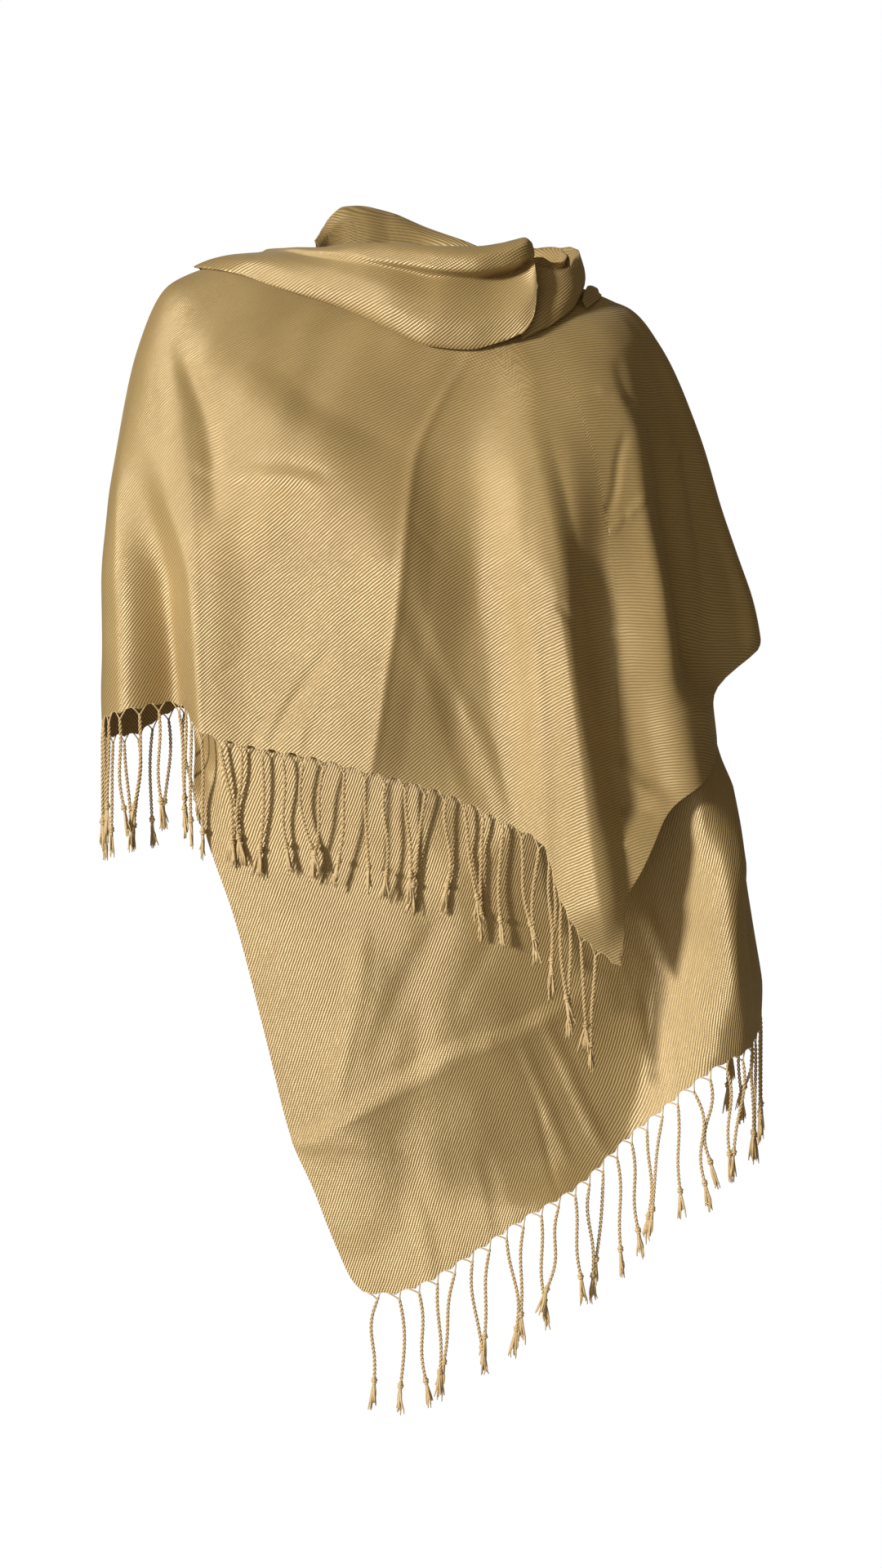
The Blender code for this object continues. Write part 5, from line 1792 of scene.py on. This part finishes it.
@dataclass
class HoldOff:
    """Keeps cords in front of the panel that they hang before."""

    panel: UnderPanel
    clearance: float = 0.0042
    from_azimuth: float = EDGE_ABOVE_CORDS
    rounds: int = 14

    def __call__(self, path: Array) -> Array:
        """Moves a path outwards where the panel is nearer than the clearance.

        Args:
            path: the points of the path.

        Returns:
            The points, moved.
        """
        azimuth = np.degrees(np.arctan2(path[:, 0], -path[:, 1]))
        panel = self.panel.point_at(azimuth, -path[:, 2])
        radius = np.hypot(path[:, 0], path[:, 1])
        wanted = np.hypot(panel[:, 0], panel[:, 1]) + self.clearance
        need = np.where(azimuth > self.from_azimuth, np.maximum(wanted - radius, 0), 0)
        push = need.copy()
        for _ in range(self.rounds):
            padded = np.concatenate([push[:1], push, push[-1:]])
            push = np.maximum(need, (padded[:-2] + 2 * padded[1:-1] + padded[2:]) / 4)
        scale = (radius + push) / radius
        moved = path.copy()
        moved[:, :2] *= scale[:, None]
        return moved


class Nodes:
    """Builds a material's nodes with little writing."""

    def __init__(self, name: str) -> None:
        """Starts a material whose nodes end in one cloth shader.

        Args:
            name: the material's name.
        """
        self.material = bpy.data.materials.new(name)
        self.material.use_nodes = True
        self.tree = self.material.node_tree
        self.shader = self.tree.nodes["Principled BSDF"]

    def add(self, kind: str, *inputs: Any, **settings: Any) -> Any:
        """Adds a node.

        Args:
            kind: the node's type.
            inputs: a value or a socket for each of the first inputs, None to leave one.
            settings: the node's own settings.

        Returns:
            The node.
        """
        node = self.tree.nodes.new(kind)
        for key, value in settings.items():
            setattr(node, key, value)
        for socket, value in zip(node.inputs, inputs):
            self.put(socket, value)
        return node

    def put(self, socket: Any, value: Any) -> None:
        """Links or sets an input.

        Args:
            socket: the input.
            value: a socket, a number or a colour, or None.
        """
        if isinstance(value, bpy.types.NodeSocket):
            self.tree.links.new(value, socket)
        elif value is not None:
            socket.default_value = value

    def maths(self, operation: str, *inputs: Any) -> Any:
        """The result of one sum."""
        return self.add("ShaderNodeMath", *inputs, operation=operation).outputs[0]

    def noise(self, vector: Any, scale: float, detail: float = 2.0) -> Any:
        """The value of a noise texture at a place.

        Args:
            vector: the socket that gives the place.
            scale: how fine the noise is.
            detail: how many finer layers it has.

        Returns:
            The output socket.
        """
        node = self.add("ShaderNodeTexNoise")
        self.put(node.inputs["Vector"], vector)
        self.put(node.inputs["Scale"], scale)
        self.put(node.inputs["Detail"], detail)
        return node.outputs["Fac"]

    def blend(self, share: Any, first: Colour, second: Colour) -> Any:
        """A colour between two others.

        Args:
            share: 0 for the first colour, 1 for the second.
            first: a colour or a socket.
            second: a colour or a socket.

        Returns:
            The output socket.
        """
        node = self.add("ShaderNodeMix", data_type="RGBA")
        self.put(node.inputs[0], share)
        self.put(node.inputs[6], first if not isinstance(first, tuple) else (*first, 1.0))
        self.put(node.inputs[7], second if not isinstance(second, tuple) else (*second, 1.0))
        return node.outputs[2]


@dataclass(frozen=True)
class Finish:
    """Fine wool's colours, relief and sheen, whatever is made of it; its dark colour is partly painted
    shade in the hollows between ribs and fibres.
    """

    name: str
    light: Colour
    dark: Colour
    depth: float
    roughness: float
    sheen: float
    sheen_tint: Colour
    metallic: float = 0.0
    specular: float = 0.9
    sheen_spread: float = 0.4

    def link(self, nodes: Nodes, share: Any, height: Any) -> bpy.types.Material:
        """Links a weave to its material's shader.

        Args:
            nodes: the material's nodes.
            share: 0 for the dark colour, 1 for the light one.
            height: the weave's height, in depths.

        Returns:
            The material.
        """
        inputs = nodes.shader.inputs
        nodes.put(inputs["Base Color"], nodes.blend(share, self.dark, self.light))
        bump = nodes.add("ShaderNodeBump")
        nodes.put(bump.inputs["Strength"], 1.0)
        nodes.put(bump.inputs["Distance"], self.depth)
        nodes.put(bump.inputs["Height"], height)
        nodes.put(inputs["Normal"], bump.outputs[0])
        nodes.put(inputs["Roughness"], self.roughness)
        nodes.put(inputs["Metallic"], self.metallic)
        nodes.put(inputs["Specular IOR Level"], self.specular)
        nodes.put(inputs["Sheen Weight"], self.sheen)
        nodes.put(inputs["Sheen Roughness"], self.sheen_spread)
        nodes.put(inputs["Sheen Tint"], (*self.sheen_tint, 1.0))
        return nodes.material


@dataclass(frozen=True)
class TwillFinish(Finish):
    """Fine wool in a two-and-two twill, with a soft sheen, its colour painted darker in the grooves
    between ribs and floats as shade.
    """

    name: str = "camel_twill"
    light: Colour = (0.60, 0.435, 0.180)
    # the dark colour stands for painted shade in the twill's grooves and for the dark end of the yarn's
    # random tone
    dark: Colour = (0.215, 0.133, 0.046)
    depth: float = 0.00060
    roughness: float = 0.43
    sheen: float = 0.15
    sheen_tint: Colour = (1.0, 0.95, 0.86)
    metallic: float = 0.22
    rib: float = 0.00242
    floats: float = 0.0014
    floats_weight: float = 0.28
    wander: float = 0.0022
    wander_scale: float = 60.0
    yarn_scale: tuple[float, float, float] = (260.0, 900.0, 1.0)
    yarn_weight: float = 0.5
    tone_scale: float = 9.0
    tone_weight: float = 0.5
    contrast: float = 0.58

    def material(self) -> bpy.types.Material:
        """Builds the finish.

        Returns:
            The material.
        """
        nodes = Nodes(self.name)
        grain = nodes.add("ShaderNodeUVMap", uv_map="grain").outputs[0]
        split = nodes.add("ShaderNodeSeparateXYZ", grain)
        along, across = split.outputs[0], split.outputs[1]
        wander = nodes.maths("SUBTRACT", nodes.noise(grain, self.wander_scale), 0.5)
        wander = nodes.maths("MULTIPLY", wander, self.wander)
        across = nodes.maths("ADD", across, wander)
        turns = nodes.maths("MULTIPLY", across, 2 * math.pi / self.rib)
        ribs = nodes.maths("MULTIPLY_ADD", nodes.maths("COSINE", turns), 0.5, 0.5)
        picks = nodes.maths("MULTIPLY", along, 2 * math.pi / self.floats)
        picks = nodes.maths("MULTIPLY_ADD", turns, 0.5, picks)
        picks = nodes.maths("MULTIPLY_ADD", nodes.maths("COSINE", picks), 0.5, 0.5)
        stretched = nodes.add("ShaderNodeVectorMath", grain, self.yarn_scale, operation="MULTIPLY")
        yarn = nodes.noise(stretched.outputs[0], 1.0, 3.0)
        # The colour follows the ribs and floats, dark in their grooves: painted shade. The yarn and tone
        # noises are the wool's real random tone, and the weave without the tone is the bump's height.
        weave = nodes.maths("MULTIPLY_ADD", picks, self.floats_weight, ribs)
        weave = nodes.maths("MULTIPLY_ADD", yarn, self.yarn_weight, weave)
        weave = nodes.maths("MULTIPLY", weave, self.contrast)
        tone = nodes.maths("SUBTRACT", nodes.noise(grain, self.tone_scale, 4.0), 0.5)
        return self.link(nodes, nodes.maths("MULTIPLY_ADD", tone, self.tone_weight, weave), weave)


@dataclass(frozen=True)
class YarnFinish(Finish):
    """The same wool as loose yarn, painted pale on its fibres' crowns and dark in the gaps between them
    as highlight and shade.
    """

    name: str = "camel_yarn"
    # light and dark: painted highlight on the fibres' crowns and painted shade in the gaps between them,
    # spread also by the yarn's random blotches of tone
    light: Colour = (0.78, 0.575, 0.275)
    dark: Colour = (0.17, 0.10, 0.034)
    depth: float = 0.00012
    roughness: float = 0.62
    sheen: float = 0.22
    sheen_tint: Colour = (1.0, 0.92, 0.76)
    fibres: float = 0.0011
    fibre_turns: int = 2
    strand_weight: float = 0.4
    blotch_scale: float = 900.0
    blotch_weight: float = 0.8

    def material(self) -> bpy.types.Material:
        """Builds the finish.

        Returns:
            The material.
        """
        nodes = Nodes(self.name)
        grain = nodes.add("ShaderNodeUVMap", uv_map="grain").outputs[0]
        split = nodes.add("ShaderNodeSeparateXYZ", grain)
        run = nodes.maths("MULTIPLY", split.outputs[0], 2 * math.pi / self.fibres)
        turn = nodes.maths("MULTIPLY_ADD", split.outputs[1], 2 * math.pi * self.fibre_turns, run)
        strand = nodes.maths("MULTIPLY_ADD", nodes.maths("COSINE", turn), 0.5, 0.5)
        strand = nodes.maths("MULTIPLY", strand, self.strand_weight)
        place = nodes.add("ShaderNodeTexCoord").outputs["Object"]
        blotch = nodes.noise(place, self.blotch_scale)
        # The colour runs dark in the gaps between fibres and pale on their crowns: painted shade and
        # painted highlight. The blotches are the yarn's random tone; the same sum is the bump's height.
        height = nodes.maths("MULTIPLY_ADD", blotch, self.blotch_weight, strand)
        return self.link(nodes, height, height)


@dataclass(frozen=True)
class Lamp:
    """A soft light from far off."""

    name: str
    strength: float
    colour: Colour
    comes_from: tuple[float, float, float]
    width: float

    def build(self) -> None:
        """Adds the light."""
        lamp = bpy.data.lights.new(self.name, "SUN")
        lamp.energy = self.strength
        lamp.color = self.colour
        lamp.angle = math.radians(self.width)
        light = bpy.data.objects.new(self.name, lamp)
        light.rotation_euler = Vector(self.comes_from).to_track_quat("Z", "Y").to_euler()
        bpy.context.collection.objects.link(light)


@dataclass
class Studio:
    """A pale, plain studio lit from the left, with weaker lights before and behind."""

    view: FrontView
    floor_height: float = -1.45
    floor_reach: float = 1.4
    floor_colour: Colour = (0.9, 0.9, 0.9)
    floor_roughness: float = 0.9
    backdrop: float = 1.0
    fill: float = 0.13
    fill_colour: Colour = (1.0, 0.80, 0.46)
    key: Lamp = Lamp("key", 4.25, (1.0, 0.98, 0.95), (-0.74, -0.66, 0.22), 8.0)
    front: Lamp = Lamp("front", 0.4, (1.0, 0.93, 0.82), (-0.36, -0.92, 0.15), 45.0)
    behind: Lamp = Lamp("behind", 1.7, (1.0, 0.97, 0.92), (0.0, 0.98, -0.2), 8.0)

    def build(self) -> None:
        """Builds the light, the floor and the camera."""
        self.add_world()
        for lamp in (self.key, self.front, self.behind):
            lamp.build()
        self.add_floor()
        self.add_camera()
        bpy.context.scene.view_settings.view_transform = "Standard"

    def add_world(self) -> None:
        """Makes the surroundings pale to the camera and a soft light to the cloth."""
        world = bpy.data.worlds.new("studio")
        world.use_nodes = True
        bpy.context.scene.world = world
        tree = world.node_tree
        fill = tree.nodes["Background"]
        fill.inputs["Color"].default_value = (*self.fill_colour, 1.0)
        fill.inputs["Strength"].default_value = self.fill
        backdrop = tree.nodes.new("ShaderNodeBackground")
        backdrop.inputs["Color"].default_value = (self.backdrop, self.backdrop, self.backdrop, 1.0)
        path = tree.nodes.new("ShaderNodeLightPath")
        mix = tree.nodes.new("ShaderNodeMixShader")
        tree.links.new(path.outputs["Is Camera Ray"], mix.inputs[0])
        tree.links.new(fill.outputs[0], mix.inputs[1])
        tree.links.new(backdrop.outputs[0], mix.inputs[2])
        tree.links.new(mix.outputs[0], tree.nodes["World Output"].inputs["Surface"])

    def add_floor(self) -> None:
        """Adds the floor."""
        reach, height = self.floor_reach, self.floor_height
        corners = [(-reach, -reach), (reach, -reach), (reach, reach), (-reach, reach)]
        vertices = np.array([(x, y, height) for x, y in corners])
        mesh = new_mesh("floor", vertices, np.array([[0, 1, 2, 3]]))
        nodes = Nodes("pale_floor")
        nodes.put(nodes.shader.inputs["Base Color"], (*self.floor_colour, 1.0))
        nodes.put(nodes.shader.inputs["Roughness"], self.floor_roughness)
        mesh.materials.append(nodes.material)
        floor = bpy.data.objects.new("floor", mesh)
        bpy.context.collection.objects.link(floor)

    def add_camera(self) -> None:
        """Adds the camera."""
        film = bpy.data.cameras.new("camera")
        film.sensor_fit = "VERTICAL"
        film.sensor_height = self.view.film
        film.lens = self.view.film * self.view.distance / self.view.picture_height
        camera = bpy.data.objects.new("camera", film)
        back = Vector(self.view.back)
        camera.location = Vector(self.view.aim) + back * self.view.distance
        camera.rotation_euler = back.to_track_quat("Z", "Y").to_euler()
        bpy.context.collection.objects.link(camera)
        bpy.context.scene.camera = camera


UPPER_FRINGE = Fringe(
    name="fringe_upper_cords",
    node="fringe_upper",
    seed=31,
    groups=(
        1, 2, 1, 1, 2, 1, 2, 1, 1, 1, 2, 1, 1, 1, 2, 1, 1, 2, 1, 1, 2, 1, 1, 1, 2, 1, 2, 1, 2, 1, 1, 2, 2,
    ),
    leans=(
        0.002, -0.003, 0.004, 0.001, -0.002, 0.003, 0.000, -0.004, 0.002, 0.004, -0.001, 0.003,
        -0.004, 0.002, 0.005, -0.003, 0.001, 0.004, -0.002, 0.003, 0.000, -0.004, 0.003, 0.001,
        -0.003, 0.002, 0.004, -0.002, 0.001, 0.003, -0.003, 0.002, 0.000,
    ),
)
LOWER_FRINGE = Fringe(
    name="fringe_lower_cords",
    node="fringe_lower",
    seed=37,
    groups=(1, 1, 1, 2, 2, 2, 2, 1, 2, 1, 1, 2, 1, 2, 2, 2, 2, 1, 2, 1, 2, 2, 1, 1, 2, 1, 2, 2, 2),
    leans=(
        -0.004, 0.002, 0.005, -0.003, 0.002, 0.004, -0.004, 0.006, -0.002, 0.003, 0.005, -0.004,
        0.002, 0.004, -0.003, 0.002, 0.004, -0.005, 0.003, 0.001, -0.003, 0.004, -0.002, 0.003,
        0.000, 0.004, -0.003, 0.002, 0.000,
    ),
    sway=0.003,
)


@dataclass
class Shawl:
    """The whole shawl: its panels, its rolls round the neck and its two fringes."""

    figure: Figure
    view: FrontView
    cloth: bpy.types.Material
    yarn: bpy.types.Material

    def common(self, node: str, seed: int, cut: Cut, ribs: RibMap) -> dict[str, Any]:
        """What every stretch of cloth is made with.

        Args:
            node: the node that it stands for.
            seed: for its unevenness.
            cut: how it was cut.
            ribs: the slopes of its ribs.

        Returns:
            Values by field.
        """
        return {
            "name": f"{node}_cloth",
            "node": node,
            "cut": cut,
            "grain": GrainField(ribs, self.view),
            "figure": self.figure,
            "creasing": Creasing(self.figure, self.view),
            "undulation": Undulation(seed),
        }

    def build(self) -> None:
        """Builds every piece in order, from the outside in."""
        front = FrontPanel(
            **self.common("front_panel", 11, Cut((0.70, 0.58), "draped"), FRONT_RIBS),
            folds=FRONT_FOLDS,
            creases=FRONT_CREASES,
        )
        under = UnderPanel(
            **self.common("under_panel", 12, Cut((0.70, 0.78), "draped"), UNDER_RIBS),
            folds=UNDER_FOLDS,
            creases=UNDER_CREASES,
        )
        back = BackPanel(
            **self.common("back_panel", 13, Cut((0.45, 0.48), "draped"), BACK_RIBS),
            folds=BACK_FOLDS,
            creases=BACK_CREASES,
        )
        self.dress_hemmed(front, UPPER_FRINGE, front.hem_cells, HoldOff(under))
        self.dress_hemmed(under, LOWER_FRINGE, under.cells[0], None)
        back.dress(back.surface(), self.cloth, [])
        self.dress_neck(front, back)

    def dress_hemmed(
        self, panel: ClothPiece, fringe: Fringe, cells: int, hold_off: HoldOff | None
    ) -> None:
        """Builds a panel with the fringe along its hem.

        Args:
            panel: the panel.
            fringe: its fringe.
            cells: how many cells of its grid are hem.
            hold_off: what keeps the cords before another panel.
        """
        points = panel.surface()
        hem = panel.hem_of(points, cells)
        points = panel.scalloped(points, hem)
        fringe.hold_off = hold_off
        cords = fringe.build(hem, points[: cells + 1, 0], self.yarn)
        panel.dress(points, self.cloth, [cords])

    def dress_neck(self, front: FrontPanel, back: BackPanel) -> None:
        """Builds the rolls round the neck.

        Args:
            front: the panel that two of them rest on.
            back: the panel that the third rests on.
        """
        on_front = ("front_panel_cloth",)
        folds = [
            NeckFold(
                **self.common("neck_front_fold", 21, Cut((0.37, 0.14), "folded", on_front), COWL_RIBS),
                stations=NECK_FRONT,
                panel_point=front.base,
            ),
            NeckFold(
                **self.common("neck_side_fold", 22, Cut((0.34, 0.107), "folded", on_front), SIDE_RIBS),
                stations=NECK_SIDE,
                panel_point=front.base,
                cells=(200, 40),
            ),
            NeckFold(
                **self.common(
                    "neck_back_fold", 23, Cut((0.18, 0.095), "folded", ("back_panel_cloth",)), RISE_RIBS
                ),
                stations=NECK_BACK,
                panel_point=back.base,
                cells=(110, 56),
            ),
            InnerRoll(
                **self.common(
                    "neck_inner_roll", 24, Cut((0.085, 0.019), "folded", ("neck_side_fold_cloth",)),
                    SIDE_RIBS,
                ),
            ),
            ShoulderPleat(
                **self.common("shoulder_pleat", 25, Cut((0.055, 0.014), "folded", on_front), SIDE_RIBS),
                panel_point=front.base,
            ),
        ]
        for fold in folds:
            fold.dress(fold.surface(), self.cloth, [])


def main() -> None:
    """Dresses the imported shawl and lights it."""
    logging.basicConfig(level=logging.INFO, format="%(message)s")
    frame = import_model()
    LOG.info("packed nodes: %s", ", ".join(sorted(frame["nodes"])))
    view = FrontView()
    Shawl(Figure(), view, TwillFinish().material(), YarnFinish().material()).build()
    Studio(view).build()


if __name__ == "__main__":
    main()
